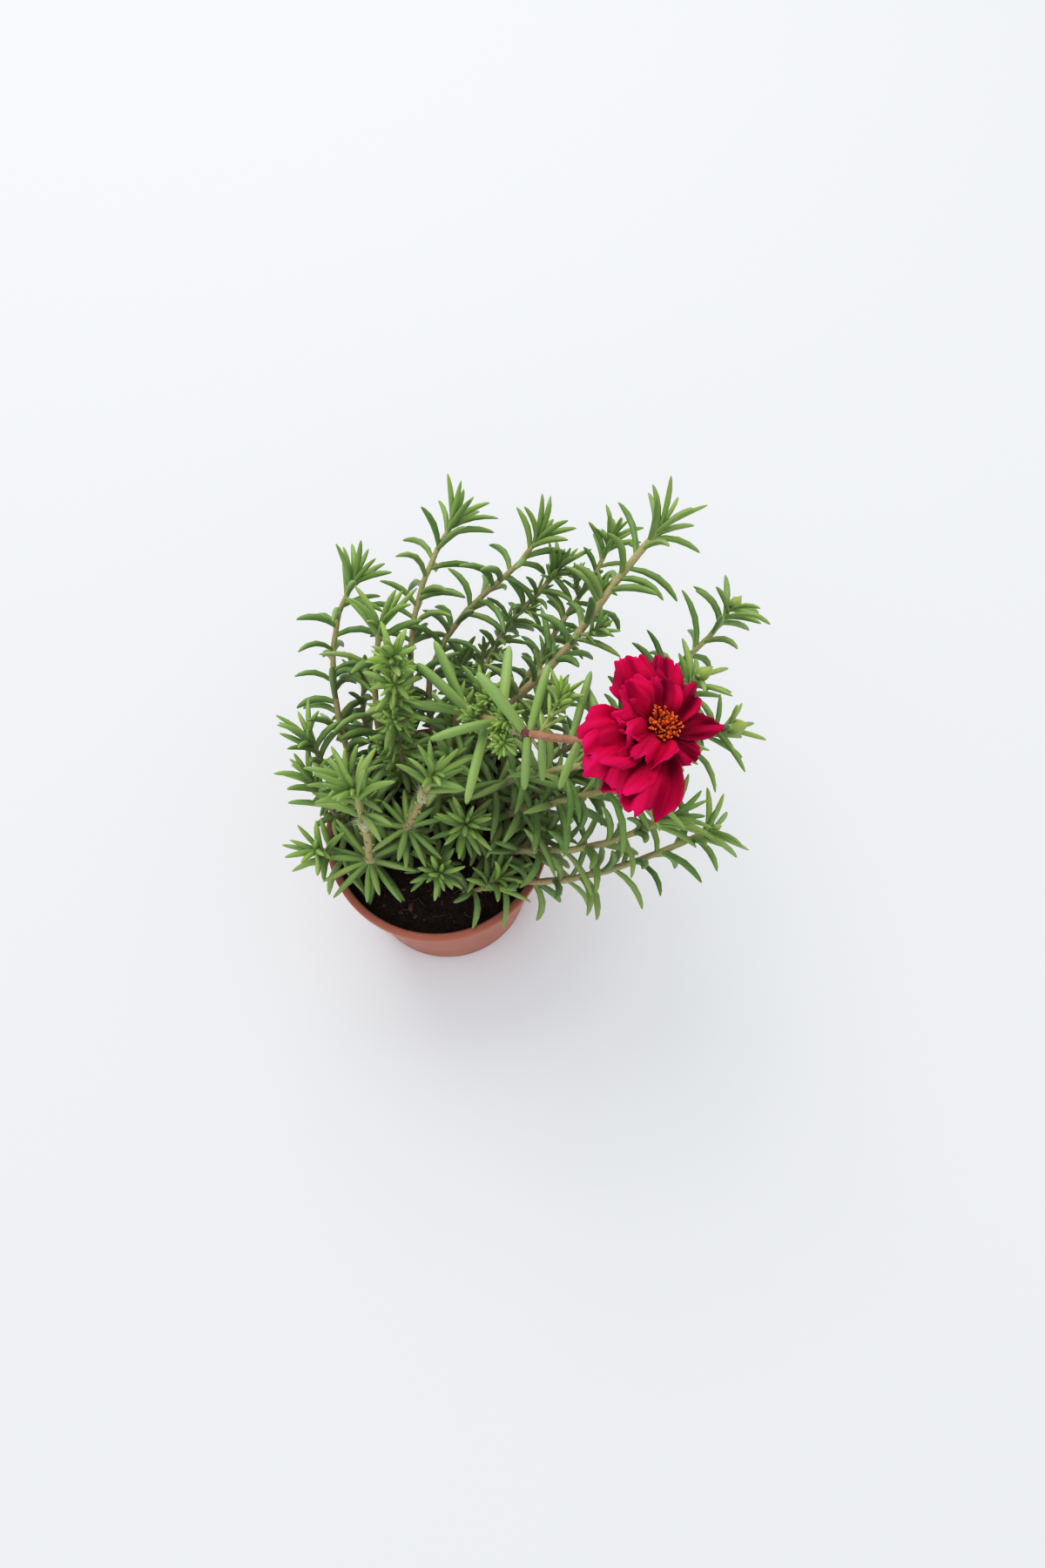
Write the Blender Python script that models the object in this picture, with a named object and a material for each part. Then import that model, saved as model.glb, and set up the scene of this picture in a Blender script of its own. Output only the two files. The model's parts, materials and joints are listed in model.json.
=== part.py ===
"""A potted moss rose: a small clay-coloured plastic pot filled with soil, leafy succulent stems that arch
out of it, and one ruffled crimson bloom with a tuft of orange stamens.
Metres, +Z up, with the origin at the centre of the pot's underside.
+X is the side that the bloom leans to, and -Y is the front, where soil shows."""

import math
import random

import bmesh
import bpy
import numpy as np
from mathutils import Vector

# The pot, a thin moulded cone with a rolled lip and a channelled foot
POT_HEIGHT = 0.086
LIP_RADIUS = 0.050
LIP_DEPTH = 0.0042
FOOT_RADIUS = 0.0402
SHOULDER_RADIUS = 0.0475
WALL = 0.0010
FLOOR_TOP = 0.0038
CHANNEL_HEIGHT = 0.0025
PAD_RADIUS = 0.014
DRAIN_RING_RADIUS = 0.024
DRAIN_RADIUS = 0.003
DRAIN_COUNT = 5
ROUND_SIDES = 30

# The soil, a plug that stops short of the lip
SOIL_TOP = 0.077
SOIL_BUMP = 0.0009
GAP = 0.0003
ROOT_DEPTH = 0.012
HOLE_SIDES = 5

# Stems and leaves
STEM_SIDES = 5
STEM_STEP = 0.015
LEAF_SIDES = 3
FULLNESS = 1.25
NECK = 0.0024
SUNK = 0.0009
LEAF_PITCH = 0.0111
TIP_ZONE = 0.018
TIP_LEAVES, SHOOT_LEAVES = 6, 4
GOLDEN_TURN = math.radians(137.5)
OLD_SPREAD, YOUNG_SPREAD = math.radians(50), math.radians(22)
OLD_RECURVE, YOUNG_RECURVE = math.radians(58), math.radians(24)
LEAF_SAG = 0.12
CLEARANCE = 0.0004
SHOOT_LENGTH = 0.009
OPEN_SPREAD = math.radians(48)
BUD_SKY = 0.009
BUD_NOD = 0.5
FLOWER_FOOT = 0.0105

# The bloom: where its cup sits, the way it faces and its petals
BLOOM_SEAT = Vector((0.0850, -0.0035, 0.2050))
BLOOM_AXIS = Vector((0.14, 0.12, 1.0)).normalized()
CUP_RADIUS = 0.0036
CUP_HEIGHT = 0.0030
PETAL_THICKNESS = 0.0007
PETAL_ROWS, PETAL_COLUMNS = 5, 4
STAMEN_COUNT = 18

GREEN_LEAF = (0.16, 0.33, 0.07)
CRIMSON = (0.62, 0.004, 0.055)
ORANGE = (0.85, 0.22, 0.02)
CLAY = (0.46, 0.17, 0.10)
DARK_SOIL = (0.030, 0.018, 0.012)


# Each stem: its route from the soil to its tip, its radius at the root, the length of its leaves,
# the share of it that is bare at the root, its side shoots as (share of the stem, turn about it
# in degrees), the stretch that has lost its leaves as two shares of the stem, and its bud's radius
STEMS = {
    "flower_stem": {
        "route": [(0.004, 0.021), (0.0080, 0.0295, 0.122), (0.0130, 0.0305, 0.149), (0.0225, 0.0200, 0.169),
                  (0.0400, 0.0050, 0.188), (0.0590, -0.0015, 0.1965), (0.0780, -0.0036, 0.1985),
                  (0.0850, -0.0035, 0.2050)],
        "radius": 0.0018, "leaf": 0.022, "bare": 0.22, "shoots": [], "calyx": True, "step": 0.010,
    },
    "stem_tall_right": {
        "route": [(0.014, 0.034), (0.035, 0.048, 0.122), (0.053, 0.058, 0.141), (0.078, 0.086, 0.160),
                  (0.095, 0.104, 0.170)],
        "radius": 0.0018, "leaf": 0.022, "bare": 0.28,
        "shoots": [(0.50, 150), (0.66, 340), (0.74, 110)],
    },
    "stem_tall_middle": {
        "route": [(-0.012, 0.019), (-0.014, 0.021, 0.112), (-0.014, 0.027, 0.136), (-0.012, 0.031, 0.160),
                  (-0.011, 0.039, 0.184)],
        "radius": 0.0015, "leaf": 0.015, "bare": 0.20,
        "shoots": [(0.48, 140), (0.58, 20), (0.70, 200), (0.82, 60)],
    },
    "stem_front_middle": {
        "route": [(-0.014, -0.005), (-0.011, -0.009, 0.115), (-0.002, -0.006, 0.145),
                  (0.004, -0.002, 0.163)],
        "radius": 0.0015, "leaf": 0.018, "bare": 0.24, "shoots": [], "worn": (0.52, 0.86),
    },
    "stem_front_left": {
        "route": [(-0.026, -0.012), (-0.027, -0.020, 0.102), (-0.025, -0.016, 0.130),
                  (-0.027, -0.006, 0.158)],
        "radius": 0.0017, "leaf": 0.021, "bare": 0.20, "shoots": [], "worn": (0.44, 0.80),
    },
    "stem_left_back": {
        "route": [(-0.020, 0.025), (-0.025, 0.036, 0.106), (-0.025, 0.054, 0.130), (-0.021, 0.070, 0.150)],
        "radius": 0.0014, "leaf": 0.022, "bare": 0.24, "shoots": [(0.7, 10)],
    },
    "stem_left_arch": {
        "route": [(-0.031, 0.011), (-0.041, 0.036, 0.106), (-0.045, 0.065, 0.122), (-0.042, 0.082, 0.133),
                  (-0.034, 0.094, 0.144)],
        "radius": 0.0014, "leaf": 0.021, "bare": 0.20, "shoots": [],
    },
    "stem_back_left": {
        "route": [(-0.010, 0.030), (-0.012, 0.059, 0.108), (-0.010, 0.085, 0.124), (-0.003, 0.108, 0.132),
                  (0.008, 0.126, 0.140)],
        "radius": 0.0014, "leaf": 0.021, "bare": 0.24, "shoots": [],
    },
    "stem_back_middle": {
        "route": [(0.000, 0.036), (-0.004, 0.068, 0.106), (0.004, 0.082, 0.114), (0.018, 0.095, 0.125),
                  (0.035, 0.105, 0.135), (0.046, 0.115, 0.146)],
        "radius": 0.0014, "leaf": 0.020, "bare": 0.24, "shoots": [],
    },
    "stem_back_right": {
        "route": [(0.010, 0.025), (0.017, 0.060, 0.100), (0.023, 0.075, 0.108), (0.033, 0.089, 0.116),
                  (0.048, 0.102, 0.124), (0.055, 0.109, 0.130)],
        "radius": 0.0013, "leaf": 0.018, "bare": 0.28, "shoots": [(0.55, 120)],
    },
    "stem_far_right": {
        "route": [(0.022, 0.032), (0.037, 0.061, 0.104), (0.048, 0.077, 0.113), (0.059, 0.092, 0.120),
                  (0.073, 0.112, 0.127), (0.078, 0.121, 0.134)],
        "radius": 0.0013, "leaf": 0.017, "bare": 0.28, "shoots": [(0.60, 60), (0.78, 220)],
    },
    "stem_budded_upper": {
        "route": [(0.031, 0.022), (0.069, 0.038, 0.108), (0.109, 0.068, 0.118), (0.123, 0.080, 0.126),
                  (0.129, 0.087, 0.132)],
        "radius": 0.0014, "leaf": 0.021, "bare": 0.24, "shoots": [], "bud": 0.0024,
    },
    "stem_budded_middle": {
        "route": [(0.034, 0.012), (0.068, 0.026, 0.115), (0.099, 0.041, 0.134), (0.110, 0.047, 0.146)],
        "radius": 0.0014, "leaf": 0.020, "bare": 0.26, "shoots": [(0.6, 100)], "bud": 0.0027,
    },
    "stem_budded_lower": {
        "route": [(0.034, 0.003), (0.076, 0.018, 0.104), (0.108, 0.028, 0.120), (0.124, 0.030, 0.132)],
        "radius": 0.0014, "leaf": 0.020, "bare": 0.26, "shoots": [], "bud": 0.0032,
    },
    "stem_right_upper": {
        "route": [(0.018, 0.011), (0.031, 0.010, 0.122), (0.045, 0.006, 0.144), (0.070, 0.006, 0.158),
                  (0.092, 0.012, 0.166)],
        "radius": 0.0015, "leaf": 0.023, "bare": 0.20, "shoots": [],
    },
    "stem_right_middle": {
        "route": [(0.017, 0.001), (0.034, 0.001, 0.108), (0.050, -0.003, 0.130), (0.067, -0.001, 0.141),
                  (0.084, -0.004, 0.148)],
        "radius": 0.0015, "leaf": 0.023, "bare": 0.20, "shoots": [],
    },
    "stem_right_sweep": {
        "route": [(0.019, -0.010), (0.040, -0.015, 0.105), (0.063, -0.018, 0.118), (0.083, -0.014, 0.126),
                  (0.098, -0.009, 0.133)],
        "radius": 0.0015, "leaf": 0.021, "bare": 0.18, "shoots": [],
    },
    "stem_right_front": {
        "route": [(0.021, -0.020), (0.046, -0.026, 0.094), (0.067, -0.025, 0.102), (0.094, -0.018, 0.110),
                  (0.117, -0.010, 0.119)],
        "radius": 0.0015, "leaf": 0.022, "bare": 0.16, "shoots": [], "bud": 0.0016,
    },
    "short_stem_front": {
        "route": [(-0.002, -0.012), (0.000, -0.019, 0.096), (0.003, -0.026, 0.108)],
        "radius": 0.0012, "leaf": 0.016, "bare": 0.35, "shoots": [],
    },
    "short_stem_centre": {
        "route": [(0.008, 0.003), (0.012, -0.005, 0.105), (0.015, -0.011, 0.130)],
        "radius": 0.0012, "leaf": 0.017, "bare": 0.35, "shoots": [],
    },
    "short_stem_back": {
        "route": [(0.004, 0.040), (0.007, 0.061, 0.096), (0.011, 0.079, 0.102)],
        "radius": 0.0012, "leaf": 0.014, "bare": 0.40, "shoots": [],
    },
    "short_stem_left": {
        "route": [(-0.037, -0.001), (-0.046, 0.006, 0.100), (-0.054, 0.016, 0.112)],
        "radius": 0.0012, "leaf": 0.018, "bare": 0.35, "shoots": [],
    },
    "short_stem_right": {
        "route": [(0.012, -0.027), (0.020, -0.028, 0.090), (0.027, -0.026, 0.098)],
        "radius": 0.0012, "leaf": 0.019, "bare": 0.40, "shoots": [],
    },
    "short_stem_right_rim": {
        "route": [(0.033, -0.008), (0.041, -0.009, 0.098), (0.049, -0.007, 0.108)],
        "radius": 0.0012, "leaf": 0.019, "bare": 0.35, "shoots": [],
    },
    "short_stem_left_front": {
        "route": [(-0.035, -0.012), (-0.044, -0.016, 0.099), (-0.048, -0.017, 0.112)],
        "radius": 0.0012, "leaf": 0.019, "bare": 0.35, "shoots": [],
    },
    "stem_left_inner": {
        "route": [(-0.022, 0.003), (-0.027, 0.001, 0.112), (-0.033, 0.006, 0.138)],
        "radius": 0.0013, "leaf": 0.019, "bare": 0.28, "shoots": [],
    },
    "stem_left_outer": {
        "route": [(-0.037, 0.017), (-0.048, 0.022, 0.106), (-0.053, 0.031, 0.121)],
        "radius": 0.0013, "leaf": 0.018, "bare": 0.28, "shoots": [],
    },
    "stem_centre": {
        "route": [(-0.001, 0.009), (0.003, 0.008, 0.112), (0.009, 0.013, 0.140)],
        "radius": 0.0013, "leaf": 0.019, "bare": 0.28, "shoots": [],
    },
    "stem_centre_back": {
        "route": [(0.010, 0.017), (0.015, 0.033, 0.112), (0.021, 0.044, 0.134)],
        "radius": 0.0013, "leaf": 0.019, "bare": 0.28, "shoots": [],
    },
    "stem_centre_right": {
        "route": [(0.026, 0.006), (0.043, 0.011, 0.103), (0.062, 0.016, 0.119)],
        "radius": 0.0013, "leaf": 0.019, "bare": 0.28, "shoots": [],
    },
    "short_stem_left_back": {
        "route": [(-0.024, 0.034), (-0.034, 0.050, 0.099), (-0.032, 0.065, 0.112)],
        "radius": 0.0012, "leaf": 0.018, "bare": 0.35, "shoots": [],
    },
    "short_stem_behind": {
        "route": [(0.024, 0.018), (0.036, 0.034, 0.108), (0.050, 0.048, 0.118)],
        "radius": 0.0012, "leaf": 0.017, "bare": 0.35, "shoots": [],
    },
}

# The flower stem's own large leaves, as they lie: x of the root on the stem, the tip, and fullest radius
FLOWER_LEAVES = [
    (0.0165, (-0.0034, 0.0423, 0.169), 0.0019),
    (0.0150, (0.0032, 0.0527, 0.168), 0.0019),
    (0.0135, (-0.0094, 0.0308, 0.156), 0.0018),
    (0.0280, (0.0036, 0.0052, 0.181), 0.0019),
    (0.0250, (0.0170, -0.0165, 0.170), 0.0017),
    (0.0300, (0.0330, 0.0445, 0.180), 0.0019),
    (0.0385, (0.0213, 0.0252, 0.197), 0.0020),
    (0.0405, (0.0475, 0.0280, 0.198), 0.0015),
    (0.0400, (0.0386, -0.0128, 0.176), 0.0016),
    (0.0450, (0.0453, -0.0100, 0.178), 0.0014),
    (0.0555, (0.0626, 0.0238, 0.201), 0.0013),
    (0.0690, (0.0604, 0.0206, 0.198), 0.0017),
    (0.0580, (0.0511, -0.0163, 0.187), 0.0013),
]
# The flower stem's side shoots: x of the root on the stem, and the tip
FLOWER_SHOOTS = [
    (0.0150, (0.0198, 0.0178, 0.170)),
    (0.0225, (0.0262, 0.0238, 0.177)),
    (0.0310, (0.0330, 0.0115, 0.187)),
    (0.0440, (0.0525, 0.0155, 0.199)),
    (0.0290, (0.0312, 0.0030, 0.182)),
]

# Each petal: turn about the bloom in degrees, length, half width, tilt from the bloom's axis at the
# base and at the edge in degrees, height of its folds, the folds' phase in radians, and how pointed
# it is, from 0 to 1
OUTER_PETALS = [
    (250, 0.0350, 0.0124, 60, 94, 0.0018, 0.4, 0.0),
    (223, 0.0330, 0.0135, 58, 96, 0.0016, 2.6, 0.0),
    (201, 0.0300, 0.0120, 50, 98, 0.0018, 3.6, 0.0),
    (119, 0.0280, 0.0105, 54, 82, 0.0018, 4.4, 0.1),
    (88, 0.0260, 0.0078, 58, 80, 0.0012, 5.2, 0.0),
    (56, 0.0200, 0.0074, 50, 88, 0.0024, 1.4, 0.2),
    (4, 0.0214, 0.0062, 62, 84, 0.0010, 2.4, 0.8),
    (316, 0.0144, 0.0062, 62, 98, 0.0014, 3.6, 0.2),
]
INNER_PETALS = [
    (234, 0.0225, 0.0100, 12, 102, 0.0028, 1.2, 0.0),
    (184, 0.0190, 0.0090, 34, 84, 0.0022, 2.6, 0.1),
    (140, 0.0220, 0.0100, 26, 80, 0.0020, 4.0, 0.1),
    (94, 0.0185, 0.0085, 34, 76, 0.0014, 5.4, 0.1),
]


def clear_scene():
    for obj in list(bpy.data.objects):
        bpy.data.objects.remove(obj, do_unlink=True)


def finish_material(name, colour, roughness):
    material = bpy.data.materials.new(name)
    material.use_nodes = True
    shader = material.node_tree.nodes["Principled BSDF"]
    shader.inputs["Base Color"].default_value = (*colour, 1.0)
    shader.inputs["Roughness"].default_value = roughness
    shader.inputs["Metallic"].default_value = 0.0
    return material


def add_object(name, mesh, material=None, collection=None):
    obj = bpy.data.objects.new(name, mesh)
    (collection or bpy.context.scene.collection).objects.link(obj)
    if material:
        mesh.materials.clear()
        mesh.materials.append(material)
    return obj


def mesh_from(name, points, faces):
    """A mesh of these points and faces, with its normals made to face outwards."""
    mesh = bpy.data.meshes.new(name)
    mesh.from_pydata([tuple(p) for p in points], [], faces)
    bm = bmesh.new()
    bm.from_mesh(mesh)
    bmesh.ops.recalc_face_normals(bm, faces=bm.faces)
    bm.to_mesh(mesh)
    bm.free()
    return mesh


def apply_boolean(base, operation, tools, solver):
    """Joins or cuts base with every object of the tools collection, then removes those objects."""
    if not tools.objects:
        return
    modifier = base.modifiers.new(operation.lower(), "BOOLEAN")
    modifier.operation = operation
    modifier.operand_type = "COLLECTION"
    modifier.collection = tools
    modifier.solver = solver
    bpy.context.view_layer.objects.active = base
    bpy.ops.object.modifier_apply(modifier=modifier.name)
    for obj in list(tools.objects):
        bpy.data.objects.remove(obj, do_unlink=True)


def keep_main_body(obj):
    """Fills hollows that joining has sealed and drops loose scraps: the body with most faces stays."""
    bm = bmesh.new()
    bm.from_mesh(obj.data)
    waiting = set(bm.faces)
    bodies = []
    while waiting:
        body, front = [], [waiting.pop()]
        while front:
            face = front.pop()
            body.append(face)
            for edge in face.edges:
                for other in edge.link_faces:
                    if len(edge.link_faces) == 2 and other in waiting:
                        waiting.discard(other)
                        front.append(other)
        bodies.append(body)
    bodies.sort(key=len)
    spare = [face for body in bodies[:-1] for face in body]
    bmesh.ops.delete(bm, geom=spare, context="FACES")
    bm.to_mesh(obj.data)
    bm.free()


def tool_collection(name):
    tools = bpy.data.collections.new(name)
    bpy.context.scene.collection.children.link(tools)
    return tools


def turned_mesh(name, outline, sides):
    """A closed solid turned about +Z from an outline of (radius, height) points."""
    bm = bmesh.new()
    verts = [bm.verts.new((radius, 0.0, height)) for radius, height in outline]
    edges = [bm.edges.new((a, b)) for a, b in zip(verts, verts[1:])]
    if min(outline[0][0], outline[-1][0]) > 0:
        edges.append(bm.edges.new((verts[-1], verts[0])))
    bmesh.ops.spin(bm, geom=verts + edges, cent=(0, 0, 0), axis=(0, 0, 1), angle=2 * math.pi, steps=sides,
                   use_duplicate=False)
    bmesh.ops.remove_doubles(bm, verts=bm.verts, dist=0.00001)
    bmesh.ops.recalc_face_normals(bm, faces=bm.faces)
    mesh = bpy.data.meshes.new(name)
    bm.to_mesh(mesh)
    bm.free()
    return mesh


def inner_radius(height):
    """The pot's inner wall radius at a height."""
    share = (height - FLOOR_TOP) / (POT_HEIGHT - LIP_DEPTH - FLOOR_TOP)
    return FOOT_RADIUS - WALL + share * (SHOULDER_RADIUS - FOOT_RADIUS)


def make_pot(material):
    lip_foot = POT_HEIGHT - LIP_DEPTH
    outline = [
        (0.0, 0.0), (PAD_RADIUS, 0.0), (PAD_RADIUS + 0.0015, CHANNEL_HEIGHT),
        (FOOT_RADIUS - 0.0055, CHANNEL_HEIGHT), (FOOT_RADIUS - 0.0040, 0.0), (FOOT_RADIUS - 0.0008, 0.0),
        (FOOT_RADIUS, 0.0008), (SHOULDER_RADIUS, lip_foot), (LIP_RADIUS - 0.0006, lip_foot + 0.0002),
        (LIP_RADIUS, lip_foot + 0.0010), (LIP_RADIUS, POT_HEIGHT - 0.0009),
        (LIP_RADIUS - 0.0008, POT_HEIGHT), (SHOULDER_RADIUS, POT_HEIGHT),
        (SHOULDER_RADIUS - WALL, POT_HEIGHT - 0.0010),
        (inner_radius(lip_foot), lip_foot), (inner_radius(FLOOR_TOP + 0.0010), FLOOR_TOP + 0.0010),
        (inner_radius(FLOOR_TOP) - 0.0012, FLOOR_TOP), (0.0, FLOOR_TOP),
    ]
    pot = add_object("pot", turned_mesh("pot", outline, ROUND_SIDES), material)
    drains = tool_collection("drains")
    for i in range(DRAIN_COUNT):
        turn = 2 * math.pi * (i + 0.5) / DRAIN_COUNT
        bm = bmesh.new()
        bmesh.ops.create_cone(bm, cap_ends=True, segments=8, radius1=DRAIN_RADIUS, radius2=DRAIN_RADIUS,
                              depth=4 * FLOOR_TOP)
        bmesh.ops.translate(bm, verts=bm.verts, vec=(DRAIN_RING_RADIUS * math.cos(turn),
                                                     DRAIN_RING_RADIUS * math.sin(turn), 0.0))
        mesh = bpy.data.meshes.new("drain")
        bm.to_mesh(mesh)
        bm.free()
        add_object("drain", mesh, collection=drains)
    apply_boolean(pot, "DIFFERENCE", drains, "EXACT")
    pot.data.shade_smooth()
    pot.data.set_sharp_from_angle(angle=math.radians(35))


def soil_height(x, y):
    """The height of the soil's uneven top at a place."""
    waves = math.sin(190 * x + 1.3) * math.cos(230 * y) + 0.6 * math.sin(410 * x - 350 * y)
    return SOIL_TOP + SOIL_BUMP * waves / 1.6


def make_soil(material):
    """The plug of soil, with a plain hole for each stem."""
    floor = FLOOR_TOP + GAP
    outline = [(0.0, floor), (inner_radius(FLOOR_TOP) - 0.0018, floor),
               (inner_radius(0.008) - GAP, 0.008), (inner_radius(SOIL_TOP) - GAP, SOIL_TOP)]
    outline += [(share * outline[-1][0], SOIL_TOP) for share in (0.80, 0.40)] + [(0.0, SOIL_TOP)]
    soil = add_object("soil", turned_mesh("soil", outline, ROUND_SIDES), material)
    for vertex in soil.data.vertices:
        if vertex.co.z > SOIL_TOP - 0.0001 and Vector(vertex.co[:2]).length < 0.95 * inner_radius(SOIL_TOP):
            vertex.co.z = soil_height(vertex.co.x, vertex.co.y)
    holes = tool_collection("holes")
    for stem in STEMS.values():
        x, y = stem["route"][0]
        bm = bmesh.new()
        reach = (stem["radius"] + GAP) / math.cos(math.pi / HOLE_SIDES)
        bmesh.ops.create_cone(bm, cap_ends=True, segments=HOLE_SIDES, radius1=reach, radius2=reach,
                              depth=2 * (ROOT_DEPTH + GAP))
        bmesh.ops.translate(bm, verts=bm.verts, vec=(x, y, SOIL_TOP))
        mesh = bpy.data.meshes.new("hole")
        bm.to_mesh(mesh)
        bm.free()
        add_object("hole", mesh, collection=holes)
    apply_boolean(soil, "DIFFERENCE", holes, "EXACT")


def smooth_route(stem):
    """Points along a stem, evenly spaced: straight up out of the soil, then through its route."""
    x, y = stem["route"][0]
    knots = np.array([(x, y, SOIL_TOP + 0.003)] + stem["route"][1:], float)
    chords = np.linalg.norm(np.diff(knots, axis=0), axis=1)
    tangents = np.empty_like(knots)
    tangents[0] = (0, 0, 1)
    tangents[-1] = BLOOM_AXIS if "calyx" in stem else (knots[-1] - knots[-2]) / chords[-1]
    for i in range(1, len(knots) - 1):
        before, after = (knots[i] - knots[i - 1]) / chords[i - 1], (knots[i + 1] - knots[i]) / chords[i]
        tangents[i] = (before * chords[i] + after * chords[i - 1]) / (chords[i] + chords[i - 1])
    fine = [np.array((x, y, SOIL_TOP - ROOT_DEPTH))]
    for i, chord in enumerate(chords):
        for t in np.linspace(0, 1, 24, endpoint=False):
            fine.append((2 * t**3 - 3 * t**2 + 1) * knots[i] + (t**3 - 2 * t**2 + t) * chord * tangents[i]
                        + (3 * t**2 - 2 * t**3) * knots[i + 1] + (t**3 - t**2) * chord * tangents[i + 1])
    fine.append(knots[-1])
    return np.array(fine)


def along(route, distances):
    """Points of a fine route at these distances from its start."""
    reach = np.concatenate([[0], np.cumsum(np.linalg.norm(np.diff(route, axis=0), axis=1))])
    return np.stack([np.interp(distances, reach, route[:, k]) for k in range(3)], axis=1)


def route_length(route):
    return float(np.linalg.norm(np.diff(route, axis=0), axis=1).sum())


def ring_frames(points):
    """Two directions square to a path at each of its points, carried along it without twist."""
    tangents = np.gradient(points, axis=0)
    tangents /= np.linalg.norm(tangents, axis=1)[:, None]
    side = np.cross(tangents[0], (0.31, 0.95, 0.05))
    sides = []
    for tangent in tangents:
        side = side - tangent * (side @ tangent)
        side = side / np.linalg.norm(side)
        sides.append(side)
    sides = np.array(sides)
    return tangents, sides, np.cross(tangents, sides)


def swept_mesh(name, points, radii, sides):
    """A closed tube round a path, with a radius at each point. A radius of 0 at the end makes a point."""
    _, u, v = ring_frames(points)
    turns = np.arange(sides) * 2 * math.pi / sides
    pointed = radii[-1] == 0
    rings = len(points) - pointed
    verts = []
    for i in range(rings):
        verts += [points[i] + radii[i] * (math.cos(a) * u[i] + math.sin(a) * v[i]) for a in turns]
    faces = [tuple(range(sides))[::-1]]
    for i in range(rings - 1):
        for k in range(sides):
            a, b = i * sides + k, i * sides + (k + 1) % sides
            faces.append((a, b, b + sides, a + sides))
    last = (rings - 1) * sides
    if pointed:
        verts.append(points[-1])
        faces += [(last + k, last + (k + 1) % sides, len(verts) - 1) for k in range(sides)]
    else:
        faces.append(tuple(last + k for k in range(sides)))
    return mesh_from(name, verts, faces)


def leaf_axis(root, heading, outward, length, spread, recurve):
    """A leaf's curved axis as three control points: it leaves the stem at an angle and bends back."""
    start = math.cos(spread) * heading + math.sin(spread) * outward
    end_angle = spread + recurve
    end = math.cos(end_angle) * heading + math.sin(end_angle) * outward + np.array((0, 0, -LEAF_SAG))
    end /= np.linalg.norm(end)
    middle = root + 0.5 * length * start
    return np.array([root, middle, middle + 0.5 * length * end])


def bezier(controls, shares):
    t = np.asarray(shares)[:, None]
    return (1 - t) ** 2 * controls[0] + 2 * t * (1 - t) * controls[1] + t**2 * controls[2]


def leaf_radius(share):
    """How thick a leaf is along its length, as a share of its fullest: a fleshy spindle."""
    return np.interp(share, [0, 0.12, 0.45, 0.8, 1.0], [0.62, 0.78, 1.0, 0.72, 0.18])


def leaf_mesh(controls, thickness, necked):
    """A leaf as a bent spindle of few sides, pointed at its tip and inside the stem."""
    length = np.linalg.norm(np.diff(controls, axis=0), axis=1).sum()
    shares, radii = [0.0, 0.46, 1.0], [FULLNESS * thickness]
    if necked:
        shares.insert(1, NECK / length)
        radii.insert(0, 0.62 * thickness)
    points = bezier(controls, shares)
    tangents, u, v = ring_frames(points)
    verts = [points[0] - SUNK * tangents[0]]
    for i, radius in enumerate(radii, start=1):
        for k in range(LEAF_SIDES):
            a = 2 * math.pi * k / LEAF_SIDES
            verts.append(points[i] + radius * (math.cos(a) * u[i] + math.sin(a) * v[i]))
    verts.append(points[-1])
    last = 1 + LEAF_SIDES * (len(radii) - 1)
    faces = []
    for k in range(LEAF_SIDES):
        a, b = 1 + k, 1 + (k + 1) % LEAF_SIDES
        faces += [(0, b, a), (last + k, last + (k + 1) % LEAF_SIDES, len(verts) - 1)]
        if necked:
            faces.append((a, b, b + LEAF_SIDES, a + LEAF_SIDES))
    return mesh_from("leaf", verts, faces)


class Thicket:
    """Round samples of all that has grown, so that what grows next can be bent clear of it."""

    def __init__(self):
        self.centres = np.empty((0, 3))
        self.radii = np.empty(0)
        self.owners = np.empty(0, int)

    def add(self, centres, radii, owner):
        self.centres = np.vstack([self.centres, centres])
        self.radii = np.concatenate([self.radii, radii])
        self.owners = np.concatenate([self.owners, np.full(len(radii), owner)])

    def is_clear(self, centres, radii, owner):
        """Whether round samples stay off the others, the pot, the soil and the ground."""
        apart = np.linalg.norm(self.centres[None] - centres[:, None], axis=2)
        room = apart - self.radii[None] - radii[:, None]
        if (room[:, self.owners != owner] < CLEARANCE).any():
            return False
        far_half = len(centres) // 3
        if (room[far_half:, self.owners == owner] < 0).any():
            return False
        reach = np.hypot(centres[:, 0], centres[:, 1])
        low = centres[:, 2] < POT_HEIGHT + radii + CLEARANCE
        within = reach + radii + CLEARANCE < inner_radius(SOIL_TOP)
        beyond = reach - radii - CLEARANCE > LIP_RADIUS
        if (low & ~within & ~beyond).any():
            return False
        above_soil = centres[:, 2] - radii > SOIL_TOP + SOIL_BUMP + CLEARANCE
        return bool((above_soil | beyond).all() and (centres[:, 2] - radii > CLEARANCE).all())


# What a leaf tries when its place is taken: turns about the stem, then less or more spread
BENDS = [(turn, lean) for lean in (0, -14, 12, -26, 22) for turn in (0, 18, -18, 36, -36, 56, -56)]


def grow_leaf(thicket, owner, root, frame, turn, length, thickness, spread, recurve):
    """The first bend of a leaf that is clear of its neighbours, as control points, or None."""
    heading, u, v = frame
    samples = np.linspace(0.16, 1, 8)
    for swing, lean in BENDS:
        angle = turn + math.radians(swing)
        outward = math.cos(angle) * u + math.sin(angle) * v
        controls = leaf_axis(root, heading, outward, length, spread + math.radians(lean), recurve)
        centres = bezier(controls, samples)
        radii = FULLNESS * thickness * leaf_radius(samples)
        if thicket.is_clear(centres, radii, owner):
            thicket.add(centres, radii, owner)
            return controls
    return None


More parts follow.
